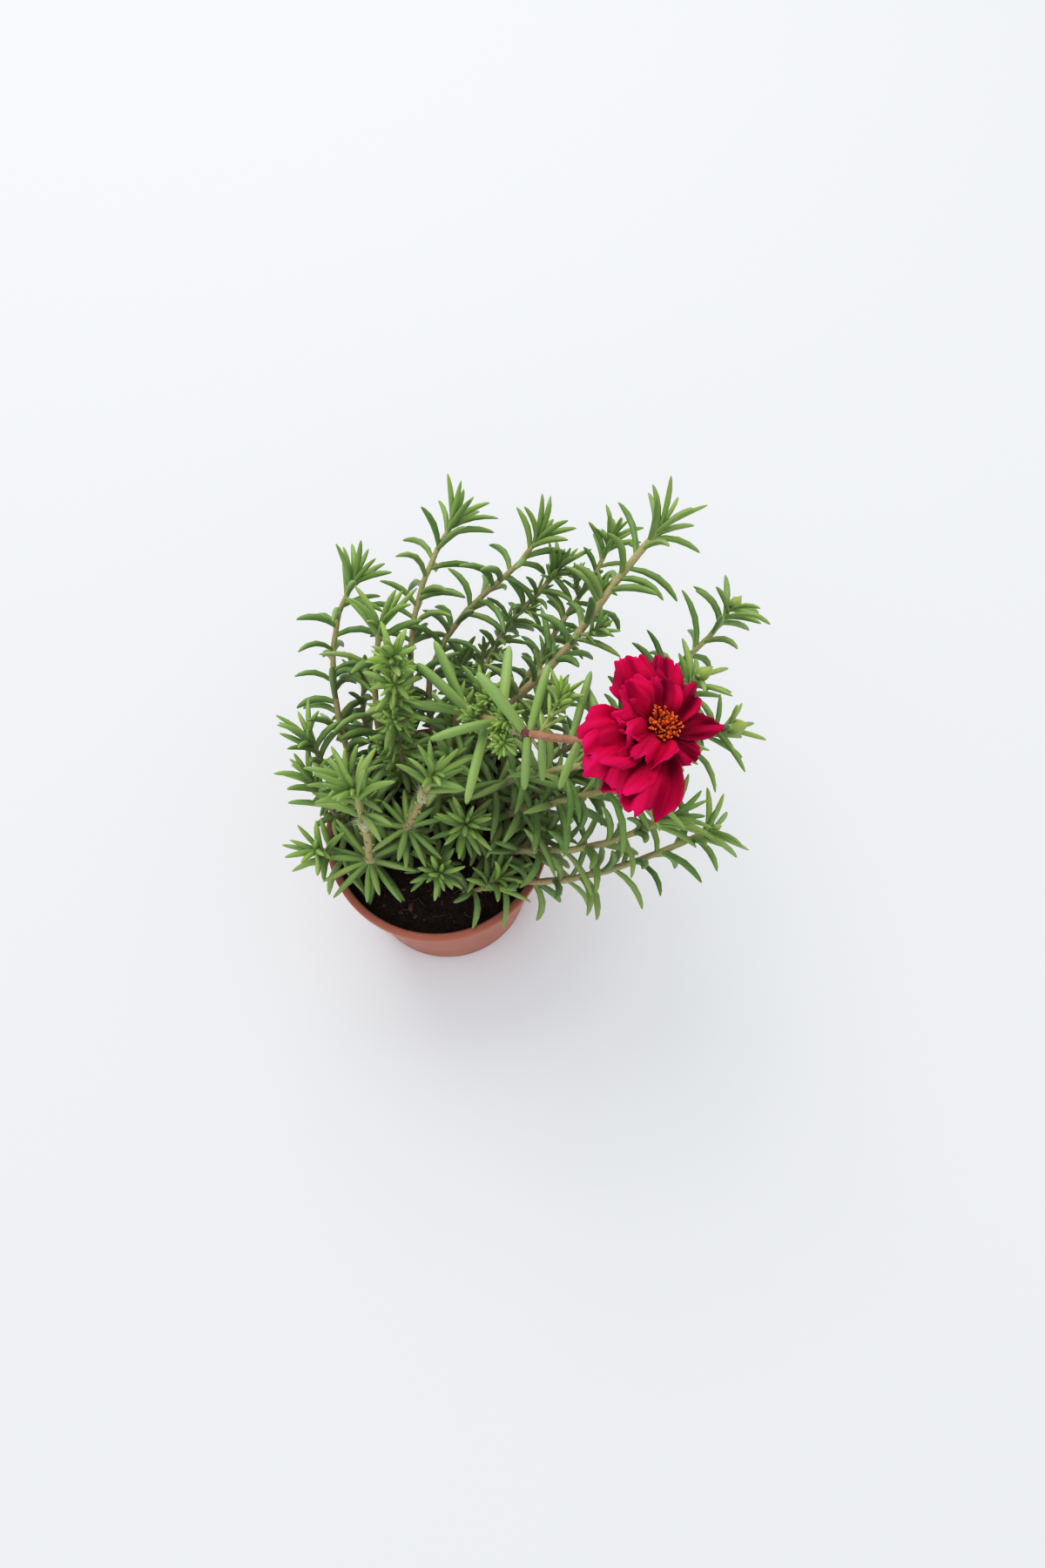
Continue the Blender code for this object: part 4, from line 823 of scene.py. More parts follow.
def infill(thicket, owner, route, leaf_length, first, draw, full_size=1.0, step=CLOSE_STEP, crown=CROWN,
           tips=4, young_spread=TIP_SPREAD, worn=(1, 1), size_over=CLOSE_SIZE):
    """Fine leaves between those of the solids, smaller and more upright towards the tip."""
    length = route_length(route)
    leaves = []
    turn = draw.uniform(0, 2 * math.pi)
    places = off_worn(np.arange(first, length - crown, step), worn, length)
    for distance in np.concatenate([places, length - crown * np.linspace(0.7, 0.02, tips)]):
        distance = min(distance + 0.35 * step * draw.uniform(-1, 1), length)
        root, frame = station_frame(route, distance)
        youth = youth_at(distance, length)
        turn += GOLDEN_TURN + math.radians(draw.uniform(-16, 16))
        size = size_over * leaf_length * (1 - 0.36 * youth**2.2) * draw.uniform(0.70, 1.08) * full_size
        thickness = (0.00135 + 0.020 * (leaf_length - 0.018)) * (1 - 0.26 * youth) * full_size**0.5
        thickness *= draw.uniform(0.84, 1.04)
        spread = OLD_SPREAD + youth * (young_spread - OLD_SPREAD) + math.radians(draw.uniform(-14, 10))
        recurve = OLD_RECURVE + youth * (YOUNG_RECURVE - OLD_RECURVE) + math.radians(draw.uniform(-26, 20))
        grown = grow_leaf(thicket, owner, root, frame, turn, size, thickness, spread, recurve, 1.15)
        if grown is not None:
            leaves.append((grown, thickness, youth))
    return leaves


def rosette(thicket, owner, root, heading, count, length, thickness, draw, opening):
    """A star of small leaves that radiate from one point, upright inside and flat outside."""
    frame = frame_of(heading)
    leaves = []
    for i in range(count):
        spread = math.radians(10 + opening * (i + 0.5) / count)
        size = length * draw.uniform(0.72, 1.12)
        grown = grow_leaf(thicket, owner, root, frame, i * GOLDEN_TURN, size, thickness, spread, 0.25, 1.0)
        if grown is not None:
            leaves.append((grown, thickness, 2.0))
    return leaves


def shoot_stars(thicket, owner, shoot, draw):
    """Stars of young leaves up one of the flower stem's shoots. The rightmost shoot is leggy."""
    leggy = shoot[0][0] > 0.040
    size, thickness, opening = (0.0120, 0.00074, 52) if leggy else (0.0062, 0.00066, 72)
    counts = (9, 4, 3, 2) if leggy else (18, 10, 10, 8)
    up = shoot[-1] - shoot[0] + (0, 0, 0.004)
    leaves = []
    for place, count in zip((shoot[-1] - 0.1 * up, shoot[5], shoot[3], shoot[1]), counts):
        leaves += rosette(thicket, owner, place, up, count, size, thickness, draw, opening)
    return leaves


def axil_tufts(thicket, owner, route, start, step, draw):
    """Small bunches of young leaves in the axils, all along a stem."""
    leaves = []
    length = route_length(route)
    turn = draw.uniform(0, 2 * math.pi)
    for distance in np.arange(start * length, length - 0.004, step):
        root, (heading, u, v) = station_frame(route, distance)
        turn += GOLDEN_TURN
        out = around(turn, u, v)
        leaves += rosette(thicket, owner, root + 0.0012 * out, 0.9 * heading + out, TUFT_LEAVES, TUFT_LENGTH,
                          TUFT_THICKNESS, draw, TUFT_OPENING)
    return leaves


def whorl(thicket, owner, route, stem, draw):
    """A ring of long leaves at the foot of a worn stretch."""
    root, frame = station_frame(route, stem["worn"][0] * route_length(route))
    leaves = []
    for turn in np.linspace(0, 2 * math.pi, WHORL_LEAVES, endpoint=False):
        spread = math.radians(draw.uniform(58, 78))
        size = 1.12 * stem["leaf"] * draw.uniform(0.8, 1.05)
        grown = grow_leaf(thicket, owner, root, frame, turn, size, WHORL_THICKNESS, spread, 0.5, 1.1)
        if grown is not None:
            leaves.append((grown, WHORL_THICKNESS, 0.2))
    return leaves


def grow_between(thicket, owner, name, stem, grown):
    """The first pass over a stem: its fine leaves, and its shoots' leaves, stars and tufts."""
    draw = random.Random(owner + 401)
    route = grown["route"]
    first = ROOT_DEPTH + 0.5 * stem["bare"] * route_length(route)
    if "calyx" in stem:
        route = route[route[:, 0] < FLOWER_FOOT]
    small = TUFTED.get(name, 1.0)
    young = OPEN_SPREAD if "bud" in stem else TIP_SPREAD
    step, size_over = (CLOSE_STEP, CLOSE_SIZE) if name in CLOSE_STEMS else (OPEN_STEP, OPEN_SIZE)
    leaves = infill(thicket, owner, route, stem["leaf"], first, draw, small, step * small**2.2, CROWN,
                    4 if small == 1 else 9, young, stem.get("worn", (1, 1)), size_over)
    for shoot in grown["shoots"]:
        if "calyx" in stem:
            leaves += shoot_stars(thicket, owner, shoot, draw)
        else:
            leaves += infill(thicket, owner, shoot, stem["leaf"], 0.002, draw, 0.5, 0.0014, SHOOT_CROWN, 8)
    if name in AXIL_TUFTS:
        leaves += axil_tufts(thicket, owner, route, *AXIL_TUFTS[name], draw)
    return leaves


def grow_again(thicket, owner, name, stem, route):
    """The second pass: the whorl under a worn stretch, and smaller leaves where a stem is dense."""
    leaves = []
    if "worn" in stem:
        leaves += whorl(thicket, owner, route, stem, random.Random(owner + 501))
    if name in CLOSE_STEMS:
        first = ROOT_DEPTH + 0.7 * stem["bare"] * route_length(route)
        leaves += infill(thicket, owner, route, stem["leaf"], first, random.Random(owner + 701), AGAIN_SIZE,
                         AGAIN_STEP, CROWN, 2, math.radians(20), stem.get("worn", (1, 1)))
    return leaves


thicket.radii[first_leaf:] /= FULLNESS
thicket.gap = TOUCH
thicket.low, thicket.high = np.array(CAD_LOW) + BOX_MARGIN, np.array(CAD_HIGH) - BOX_MARGIN
for owner, (name, stem) in enumerate(STEMS.items()):
    plant[name]["leaves"] += grow_between(thicket, owner, name, stem, plant[name])
for owner, (name, stem) in enumerate(STEMS.items()):
    plant[name]["leaves"] += grow_again(thicket, owner, name, stem, plant[name]["route"])
print("all leaves:", sum(len(grown["leaves"]) for grown in plant.values()))


# %% [markdown]
# ## Masters: two leaves, two tubes, a bud and a hair
# Each thing that repeats is modelled once, standing upright and one unit tall, and then copied and bent
# along its own axis. A leaf starts as a ball. Its rings are scaled one by one into a fleshy spindle with a
# narrow, blunt tip, so that eight sides and a few rings are enough. The flower stem's large leaves are
# blunter and get twelve sides, as they are seen from near.

# %% Leaf masters
LEAF_RINGS = [(0.000, 0.52), (0.09, 0.66), (0.26, 0.87), (0.50, 1.00), (0.72, 0.91), (0.885, 0.62),
              (0.968, 0.31)]
LARGE_RINGS = [(0.000, 0.66), (0.06, 0.82), (0.20, 0.93), (0.45, 1.00), (0.72, 0.97), (0.90, 0.76),
               (0.972, 0.42)]
LIFT = 20.0


def shaped_ball(name, segments, rings):
    """A ball whose rings are set, one by one, at these heights and radii, in edit mode.

    A ring that is done is lifted out of the way of the next one's height, and all come down at the end.
    """
    select_only()
    bpy.ops.mesh.primitive_uv_sphere_add(segments=segments, ring_count=len(rings) + 1, radius=1.0)
    ball = bpy.context.object
    levels = sorted({round(vertex.co.z, 4) for vertex in ball.data.vertices})
    plan = list(zip(levels[1:-1], rings)) + [(levels[0], (rings[0][0] - 0.012, 0)), (levels[-1], (1.0, 0))]
    for level, (height, radius) in plan:
        ball_radius = math.sqrt(max(1 - level * level, 1e-9))
        pick_vertices(ball, lambda co: abs(co.z - level) < 0.001)
        stretch = radius / ball_radius if radius else 1.0
        bpy.ops.transform.resize(value=(stretch, stretch, 1))
        bpy.ops.transform.translate(value=(0, 0, height + LIFT - level))
        bpy.ops.object.mode_set(mode="OBJECT")
    pick_vertices(ball, lambda co: True)
    bpy.ops.transform.translate(value=(0, 0, -LIFT))
    bpy.ops.mesh.normals_make_consistent(inside=False)
    bpy.ops.object.mode_set(mode="OBJECT")
    bpy.ops.object.shade_smooth()
    return leave_edit(ball, name)


leaf_master = shaped_ball("leaf_master", 8, LEAF_RINGS)
large_master = shaped_ball("large_master", 12, LARGE_RINGS)
print("leaf master faces:", len(leaf_master.data.polygons), len(large_master.data.polygons))

# %% Bud master
BUD_RINGS = [(0.02, 0.42), (0.10, 0.74), (0.24, 0.95), (0.38, 1.00), (0.53, 0.92), (0.68, 0.70), (0.80, 0.42),
             (0.91, 0.17)]
bud_master = shaped_ball("bud_master", 16, BUD_RINGS)
print("bud master faces:", len(bud_master.data.polygons))


# %% Tube masters
# The number of rings in a stem's tube
TUBE_RINGS = 65


def upright_tube(name, sides, cuts):
    """A capped tube one unit tall with many rings, cut by subdividing its upright edges."""
    select_only()
    bpy.ops.mesh.primitive_cylinder_add(vertices=sides, radius=1.0, depth=1.0, location=(0, 0, 0.5))
    tube = leave_edit(bpy.context.object, name)
    bpy.ops.object.mode_set(mode="EDIT")
    bpy.ops.mesh.select_mode(type="EDGE")
    bpy.ops.mesh.select_all(action="DESELECT")
    bpy.ops.object.mode_set(mode="OBJECT")
    places = coordinates(tube.data)
    for edge in tube.data.edges:
        edge.select = bool(abs(places[edge.vertices[0]][2] - places[edge.vertices[1]][2]) > 0.5)
    bpy.ops.object.mode_set(mode="EDIT")
    bpy.ops.mesh.subdivide(number_cuts=cuts)
    bpy.ops.object.mode_set(mode="OBJECT")
    bpy.ops.object.shade_smooth()
    return tube


stem_master = upright_tube("stem_master", 10, TUBE_RINGS - 2)
shoot_master = upright_tube("shoot_master", 7, 9)
print("tube faces:", len(stem_master.data.polygons), len(shoot_master.data.polygons))

# %% Hair master
select_only()
bpy.ops.mesh.primitive_cone_add(vertices=3, radius1=1.0, radius2=0.0, depth=1.0, location=(0, 0, 0.5))
hair_master = leave_edit(bpy.context.object, "hair_master")
print("hair faces:", len(hair_master.data.polygons))
MASTERS = [leaf_master, large_master, bud_master, stem_master, shoot_master, hair_master]


# %% [markdown]
# A master is bent by sending each of its rings to a place on the new axis, and its width along two
# directions square to that axis. This is what a Curve modifier does, written out as a few lines of array
# arithmetic because it runs many thousand times.

# %% Bend a master along an axis
def bent_places(places, points, radius, flatness=1.0):
    """A master's points carried onto a path. radius is one number, or one for each of the path's points."""
    shares = np.linspace(0, 1, len(points))
    u, v = ring_frames(points)
    z = np.clip(places[:, 2], -0.05, 1.0)

    def carried(values):
        """Values at the path's points, taken to the master's points."""
        return np.stack([np.interp(z, shares, values[:, k]) for k in range(3)], axis=1)

    below = np.minimum(places[:, 2], 0)[:, None] * unit(points[1] - points[0]) * route_length(points)
    thick = np.interp(z, shares, np.broadcast_to(radius, len(points)))[:, None]
    flat_side = flatness * places[:, 1:2] * thick * carried(v)
    return carried(points) + below + places[:, :1] * thick * carried(u) + flat_side


def bent_copy(master, name, points, radius, material, flatness=1.0, **values):
    """A copy of a master with its own mesh, bent along a path, with its values for the material."""
    copy = bpy.data.objects.new(name, master.data.copy())
    bpy.context.scene.collection.objects.link(copy)
    places = coordinates(copy.data)
    give_value(copy.data, "reach", np.clip(places[:, 2], 0, 1))
    for key in ("tint", "youth", "wood"):
        give_value(copy.data, key, values.get(key, 0.0))
    set_coordinates(copy.data, bent_places(places, points, radius, flatness))
    paint(copy, material)
    return copy


def join_as(name, parts):
    """Joins pieces into one, at the origin."""
    select_only(*parts)
    bpy.ops.object.join()
    whole = bpy.context.object
    whole.name = name
    whole.data.name = name
    return whole


print("bending ready")


# %% [markdown]
# ## Finishes
# A finish starts from a few node groups that several materials share. One breaks a colour up with soft
# blotches at two scales, and another gives the height of a fine skin for the Bump node.

# %% Node helpers
def new_group(name, inputs, outputs):
    """A node group with named sockets: inputs are (name, type, default)."""
    group = bpy.data.node_groups.new(name, "ShaderNodeTree")
    for label, kind, value in inputs:
        socket = group.interface.new_socket(name=label, in_out="INPUT", socket_type=kind)
        if value is not None:
            socket.default_value = value
    for label, kind in outputs:
        group.interface.new_socket(name=label, in_out="OUTPUT", socket_type=kind)
    return group, group.nodes.new("NodeGroupInput"), group.nodes.new("NodeGroupOutput")


def feed(tree, socket, value):
    """Links a socket to another one, or gives it a number or a colour."""
    if hasattr(value, "is_linked"):
        tree.links.new(value, socket)
    else:
        socket.default_value = (*value, 1.0) if isinstance(value, tuple) else value


def add_node(tree, kind, **inputs):
    node = tree.nodes.new(kind)
    for key, value in inputs.items():
        feed(tree, node.inputs[key], value)
    return node


def mixed(tree, factor, one, two):
    """A colour mix. Each argument is a socket or a constant."""
    node = tree.nodes.new("ShaderNodeMix")
    node.data_type = "RGBA"
    for socket, value in ((node.inputs[0], factor), (node.inputs[6], one), (node.inputs[7], two)):
        feed(tree, socket, value)
    return node.outputs[2]


def ramp(tree, value, stops):
    """A colour ramp over a value, from (position, colour) stops."""
    node = tree.nodes.new("ShaderNodeValToRGB")
    while len(node.color_ramp.elements) < len(stops):
        node.color_ramp.elements.new(0.5)
    for element, (position, colour) in zip(node.color_ramp.elements, stops):
        element.position = position
        element.color = (*colour, 1.0)
    tree.links.new(value, node.inputs[0])
    return node.outputs[0]


def fade(tree, value, *stops):
    """A grey ramp over a value, from (position, level) stops."""
    return ramp(tree, value, [(position, (level,) * 3) for position, level in stops])


def figured(tree, operation, one, two):
    """A Math node. Each argument is a socket or a number."""
    node = tree.nodes.new("ShaderNodeMath")
    node.operation = operation
    feed(tree, node.inputs[0], one)
    feed(tree, node.inputs[1], two)
    return node.outputs[0]


# %% Shared groups
mottle, mottle_in, mottle_out = new_group(
    "mottle",
    [("Position", "NodeSocketVector", None), ("Colour", "NodeSocketColor", (0.5, 0.5, 0.5, 1)),
     ("Other", "NodeSocketColor", (0.3, 0.3, 0.3, 1)), ("Scale", "NodeSocketFloat", 60.0),
     ("Amount", "NodeSocketFloat", 0.5)],
    [("Colour", "NodeSocketColor")])
where, scale = mottle_in.outputs["Position"], mottle_in.outputs["Scale"]
broad = add_node(mottle, "ShaderNodeTexNoise", Vector=where, Scale=scale, Detail=3.0, Roughness=0.55)
small = add_node(mottle, "ShaderNodeTexNoise", Vector=where, Scale=figured(mottle, "MULTIPLY", scale, 5.3),
                 Detail=2.0, Roughness=0.6)
both = figured(mottle, "ADD", figured(mottle, "MULTIPLY", broad.outputs["Fac"], 0.65),
               figured(mottle, "MULTIPLY", small.outputs["Fac"], 0.35))
steep = figured(mottle, "MULTIPLY", figured(mottle, "SUBTRACT", both, 0.38), 4.2)
held = figured(mottle, "MINIMUM", figured(mottle, "MAXIMUM", steep, 0.0), 1.0)
share = figured(mottle, "MULTIPLY", held, mottle_in.outputs["Amount"])
feed(mottle, mottle_out.inputs["Colour"],
     mixed(mottle, share, mottle_in.outputs["Colour"], mottle_in.outputs["Other"]))

skin, skin_in, skin_out = new_group(
    "skin",
    [("Position", "NodeSocketVector", None), ("Scale", "NodeSocketFloat", 900.0),
     ("Pores", "NodeSocketFloat", 0.5)],
    [("Height", "NodeSocketFloat")])
where, scale = skin_in.outputs["Position"], skin_in.outputs["Scale"]
cells = add_node(skin, "ShaderNodeTexVoronoi", Vector=where, Scale=scale)
grain = add_node(skin, "ShaderNodeTexNoise", Vector=where, Scale=figured(skin, "MULTIPLY", scale, 0.35),
                 Detail=2.0)
pits = figured(skin, "MULTIPLY", cells.outputs["Distance"], skin_in.outputs["Pores"])
feed(skin, skin_out.inputs["Height"], figured(skin, "ADD", pits, grain.outputs["Fac"]))
print("groups:", [group.name for group in bpy.data.node_groups])


# %% [markdown]
# A leaf is one clear green with a yellower root, a worn brownish tip, faint blotches and painted shade at its
# outline.
# Each leaf has a tint of its own, young ones are brighter and the large ones paler, and the leaves of the
# close stems in front are brightened further as painted light. Old stems turn from green to a hairy pinkish
# tan. The flower's stalk is reddish, and its joint nearly black. Hairs are ivory, and the felt that they mat
# into has browner blotches.

# %% Material helpers
def started_material(name, roughness, **settings):
    """A material, its nodes and its shader, with constants set on the shader's own sockets."""
    material = bpy.data.materials.new(name)
    material.use_nodes = True
    shader = material.node_tree.nodes["Principled BSDF"]
    shader.inputs["Roughness"].default_value = roughness
    for key, value in settings.items():
        shader.inputs[key.replace("_", " ")].default_value = value
    return material, material.node_tree, shader


def value_of(tree, name):
    node = tree.nodes.new("ShaderNodeAttribute")
    node.attribute_type = "GEOMETRY"
    node.attribute_name = name
    return node.outputs["Fac"]


def place_of(tree):
    return tree.nodes.new("ShaderNodeTexCoord").outputs["Object"]


def put_group(tree, group, **inputs):
    """The output of a group that is put into a material."""
    node = tree.nodes.new("ShaderNodeGroup")
    node.node_tree = group
    feed(tree, node.inputs["Position"], place_of(tree))
    for key, value in inputs.items():
        feed(tree, node.inputs[key], value)
    return node.outputs[0]


def mottled(tree, colour, other, scale, amount):
    """A colour broken up by blotches of another."""
    return put_group(tree, mottle, Colour=colour, Other=other, Scale=scale, Amount=amount)


def bump_from(tree, height, shader, strength, distance):
    bump = add_node(tree, "ShaderNodeBump", Height=height, Strength=strength, Distance=distance)
    feed(tree, shader.inputs["Normal"], bump.outputs["Normal"])


def pored(tree, shader, scale, pores, strength, distance):
    """A skin of fine pores and grain, as a bump."""
    bump_from(tree, put_group(tree, skin, Scale=scale, Pores=pores), shader, strength, distance)


# %% Leaf finish
leaf_finish, tree, shader = started_material(
    "leaf_finish", 0.42, Specular_IOR_Level=0.38, Subsurface_Weight=0.12, Subsurface_Scale=0.0015,
    Subsurface_Radius=(0.6, 1.0, 0.25))
reach = value_of(tree, "reach")
tone = ramp(tree, value_of(tree, "tint"), [(0.0, (0.150, 0.248, 0.066)), (0.5, (0.220, 0.325, 0.095)),
                                           (1.0, (0.320, 0.392, 0.140))])
# On leaves the value called wood is 1 for the large ones and 0 for the others
large = mixed(tree, figured(tree, "MULTIPLY", value_of(tree, "wood"), 0.50), tone, (0.35, 0.50, 0.17))
# The youth value makes young leaves brighter, and on the close stems it also carries painted light
young = mixed(tree, figured(tree, "MULTIPLY", value_of(tree, "youth"), 0.40), large, (0.40, 0.53, 0.14))
rooted = mixed(tree, fade(tree, reach, (0.0, 0.55), (0.22, 0.0), (1.0, 0.0)), young, (0.36, 0.46, 0.16))
tipped = mixed(tree, fade(tree, reach, (0.0, 0.0), (0.965, 0.0), (1.0, 0.7)), rooted, (0.20, 0.15, 0.06))
blotched = mottled(tree, tipped, (0.29, 0.39, 0.19), 130.0, 0.5)
# Painted shade: the green darkens towards the leaf's outline, where its surface turns away from the view
outline = add_node(tree, "ShaderNodeLayerWeight", Blend=0.35)
edge = fade(tree, outline.outputs["Facing"], (0.35, 0.0), (0.95, 0.36))
feed(tree, shader.inputs["Base Color"], mixed(tree, edge, blotched, (0.090, 0.150, 0.050)))
pored(tree, shader, 2600.0, 0.7, 0.25, 0.0002)
print("leaf finish:", len(tree.nodes), "nodes")

# %% Stem, bud, hair and felt finishes
stem_finish, tree, shader = started_material("stem_finish", 0.55, Subsurface_Weight=0.08,
                                             Subsurface_Scale=0.001)
tan = mottled(tree, (0.50, 0.33, 0.23), (0.44, 0.40, 0.23), 150.0, 0.9)
aged = mixed(tree, value_of(tree, "wood"), (0.32, 0.38, 0.12), tan)
specks = add_node(tree, "ShaderNodeTexVoronoi", Vector=place_of(tree), Scale=1100.0)
flecks = fade(tree, specks.outputs["Distance"], (0.15, 0.5), (0.42, 0.0))
hairy = mixed(tree, flecks, aged, (0.62, 0.58, 0.40))
red = mottled(tree, (0.38, 0.17, 0.11), (0.42, 0.29, 0.18), 260.0, 0.9)
blushed = mixed(tree, value_of(tree, "tint"), hairy, red)
joint = figured(tree, "SUBTRACT", value_of(tree, "tint"), 1.0)
feed(tree, shader.inputs["Base Color"], mixed(tree, joint, blushed, (0.13, 0.025, 0.03)))
pored(tree, shader, 1500.0, 0.5, 0.5, 0.0003)

bud_finish, tree, shader = started_material("bud_finish", 0.42, Subsurface_Weight=0.1, Subsurface_Scale=0.001)
budded = ramp(tree, value_of(tree, "reach"), [(0.0, (0.16, 0.26, 0.06)), (0.4, (0.27, 0.35, 0.09)),
                                              (0.85, (0.36, 0.42, 0.13)), (1.0, (0.33, 0.22, 0.10))])
feed(tree, shader.inputs["Base Color"], mottled(tree, budded, (0.38, 0.45, 0.15), 300.0, 0.6))

hair_finish, tree, shader = started_material("hair_finish", 0.6)
feed(tree, shader.inputs["Base Color"], mottled(tree, (0.72, 0.72, 0.55), (0.56, 0.60, 0.40), 300.0, 0.9))

felt_finish, tree, shader = started_material("felt_finish", 0.85)
feed(tree, shader.inputs["Base Color"], mottled(tree, (0.80, 0.77, 0.55), (0.46, 0.44, 0.24), 700.0, 0.9))
pored(tree, shader, 2600.0, 1.0, 0.9, 0.0005)
print("plant finishes:", [m.name for m in (leaf_finish, stem_finish, bud_finish, hair_finish, felt_finish)])


# %% [markdown]
# ## Leafy stems
# For each stem the tube comes first, slightly swollen where leaves stand. Then come its shoots, its leaves,
# any bud, and the wisps of pale hair in the leaf axils that give the plant its name. Worn stretches carry
# leaf scars, and at their ends the hairs mat into lumpy pads of felt. The flower's stalk starts at a dark
# joint. All of it is joined into one piece, which stands for that stem's solid.

# %% Hairs, felt and scars
# Hairs in leaf axils, wool at the ends of worn stretches and at the joint, scars with their hairs, and pads
HAIR_RADIUS = 0.00006
LEAF_HAIRS, LEAF_HAIR_LENGTH = 7, 0.0036
WOOL_HAIRS, JOINT_HAIRS, WOOL_LENGTH = 110, 60, 0.0052
SCAR_PITCH, SCAR_LENGTH = 0.0019, 0.0016
SCAR_HAIRS, SCAR_HAIR_LENGTH = 4, 0.0022
PAD_LENGTH = 0.0115
OLD_WOOD = 0.75
# The flower stem's leaves that are thicker than this are large ones
LARGE_LEAF = 0.0012


def hairs(root, heading, draw, count, length):
    """A wisp of fine pale hairs that stand out of a leaf axil."""
    wisp = []
    for _ in range(count):
        out = np.array([draw.gauss(0, 1) for _ in range(3)])
        out = unit(out - heading * (out @ heading))
        way = 0.55 * heading + out * draw.uniform(0.5, 1.2)
        reach = length * draw.uniform(0.5, 1.0)
        start = root + 0.0009 * out
        curl = np.array([draw.uniform(-1, 1) for _ in range(3)]) * 0.25 * reach
        path = np.array([start, start + 0.5 * reach * way + curl * 0.3, start + reach * way + curl])
        wisp.append(bent_copy(hair_master, "hair", path, HAIR_RADIUS, hair_finish))
    return wisp


def felt(route, distance, long, radius, draw):
    """A lumpy pad of matted hairs that wraps the stem at an old whorl."""
    path = along(route, np.clip(distance + long * np.linspace(-0.5, 0.5, 9), 0, route_length(route)))
    pad = bent_copy(bud_master, "felt", path, radius, felt_finish)
    places = coordinates(pad.data)
    axis = unit(path[-1] - path[0])
    centres = path[4] + np.outer((places - path[4]) @ axis, axis)
    lumps = np.array([1 + 0.24 * draw.uniform(-1, 1) for _ in places])
    set_coordinates(pad.data, centres + (places - centres) * lumps[:, None])
    return pad


def worn_marks(stem, route, draw):
    """Leaf scars with short hairs where the stem has lost its leaves, and wool and felt at both ends."""
    length = route_length(route)
    parts = []
    turn = 0.0
    for distance in np.arange(stem["worn"][0] * length, stem["worn"][1] * length, SCAR_PITCH):
        root, (heading, u, v) = station_frame(route, distance)
        turn += GOLDEN_TURN
        out = around(turn, u, v)
        start = root + 0.85 * stem["radius"] * out
        path = start + np.outer(np.linspace(-0.2, 1, 5), SCAR_LENGTH * 0.7 * (heading + out))
        parts.append(bent_copy(leaf_master, "scar", path, draw.uniform(0.0005, 0.0009), stem_finish, 0.8,
                               wood=draw.uniform(0.0, 0.5)))
        parts += hairs(root + 0.5 * stem["radius"] * out, heading, draw, SCAR_HAIRS, SCAR_HAIR_LENGTH)
    for share, inward in zip(stem["worn"], (0.0016, -0.0016)):
        for step in (-0.0015, 0.0, 0.0015):
            root, (heading, u, v) = station_frame(route, share * length + step)
            parts += hairs(root, heading, draw, WOOL_HAIRS, WOOL_LENGTH)
        parts.append(felt(route, share * length + inward, PAD_LENGTH, 1.35 * stem["radius"], draw))
    return parts


# %% The flower's joint
JOINT_FROM, JOINT_TO, JOINT_RADIUS = 0.0380, 0.0425, 0.0023
BRACT_TIP = np.array((0.0440, -0.0010, 0.1850))
JOINT_PAD_X, JOINT_PAD_LENGTH, JOINT_PAD_RADIUS = 0.0352, 0.0080, 0.0025


def joint_on(route):
    """The dark swollen joint where the bloom's own stalk starts, with a dry bract, wool and a pad of felt."""
    draw = random.Random(61)
    ends = np.array([route_at_x(route, x) for x in np.linspace(JOINT_FROM, JOINT_TO, 9)])
    heading = unit(ends[-1] - ends[0])
    axis = np.array([ends[4], (ends[4] + BRACT_TIP) / 2 + (0, 0, 0.001), BRACT_TIP])
    distances = np.linspace(0.5, 1, 400) * route_length(route)
    distance = distances[np.argmin(np.abs(along(route, distances)[:, 0] - JOINT_PAD_X))]
    parts = [bent_copy(bud_master, "joint", ends, JOINT_RADIUS, stem_finish, 0.95, tint=1.8),
             bent_copy(leaf_master, "bract", bezier(axis, np.linspace(0, 1, 9)), 0.0012, stem_finish, 0.45,
                       wood=1.0),
             felt(route, distance, JOINT_PAD_LENGTH, JOINT_PAD_RADIUS, draw)]
    for back in (0.001, 0.003, 0.0045):
        parts += hairs(ends[3] - back * heading, heading, draw, JOINT_HAIRS, WOOL_LENGTH)
    return parts


# %% Build every stem
# How much younger, and so brighter, the leaves of some stems look
BRIGHT = {"stem_tall_middle": 1.1, "stem_left_back": 0.2, "short_stem_front": 0.3, "stem_left_inner": 0.3}
# Painted light on the close stems in front: their leaves are brightened through the youth value, to look more
# lit
CLOSE_PAINTED_LIGHT = 0.28
# How much a tube swells at its nodes and over what reach, and how uneven it is where it is worn
NODE_SWELL, NODE_REACH = 0.10, 0.0016
WORN_UNEVEN = 0.07


def fine_tube(name, stem, route, draw):
    """The stem itself: swollen at its nodes, uneven where it is worn, and woodier towards its root."""
    length = route_length(route)
    share = np.linspace(0, 1, TUBE_RINGS)
    steps = np.linspace(0, length, TUBE_RINGS)
    nodes = np.arange(stem["bare"] * length, length, LEAF_PITCH / 2)
    swell = np.exp(-((steps[:, None] - nodes[None]) / NODE_REACH) ** 2).max(axis=1)
    radii = stem["radius"] * np.linspace(1.08, 0.80, TUBE_RINGS) * (1 + NODE_SWELL * swell)
    if "worn" in stem:
        radii *= 1 + WORN_UNEVEN * np.array([draw.uniform(-1, 1) for _ in radii])
    end = np.array([1.05, 1.25, 1.6, 2.1, 2.3] if "calyx" in stem else [0.9, 0.75, 0.5, 0.2])
    radii[-len(end):] *= end
    tube = bent_copy(stem_master, name, along(route, steps), radii, stem_finish)
    wood = np.clip(OLD_WOOD + 0.55 * (0.6 - share), 0, 1)
    give_value(tube.data, "wood", np.interp(coordinates(stem_master.data)[:, 2], share, wood))
    if "calyx" in stem:
        give_value(tube.data, "tint", np.interp(coordinates(tube.data)[:, 0], [0.034, 0.041], [0.1, 1.0]))
    return tube


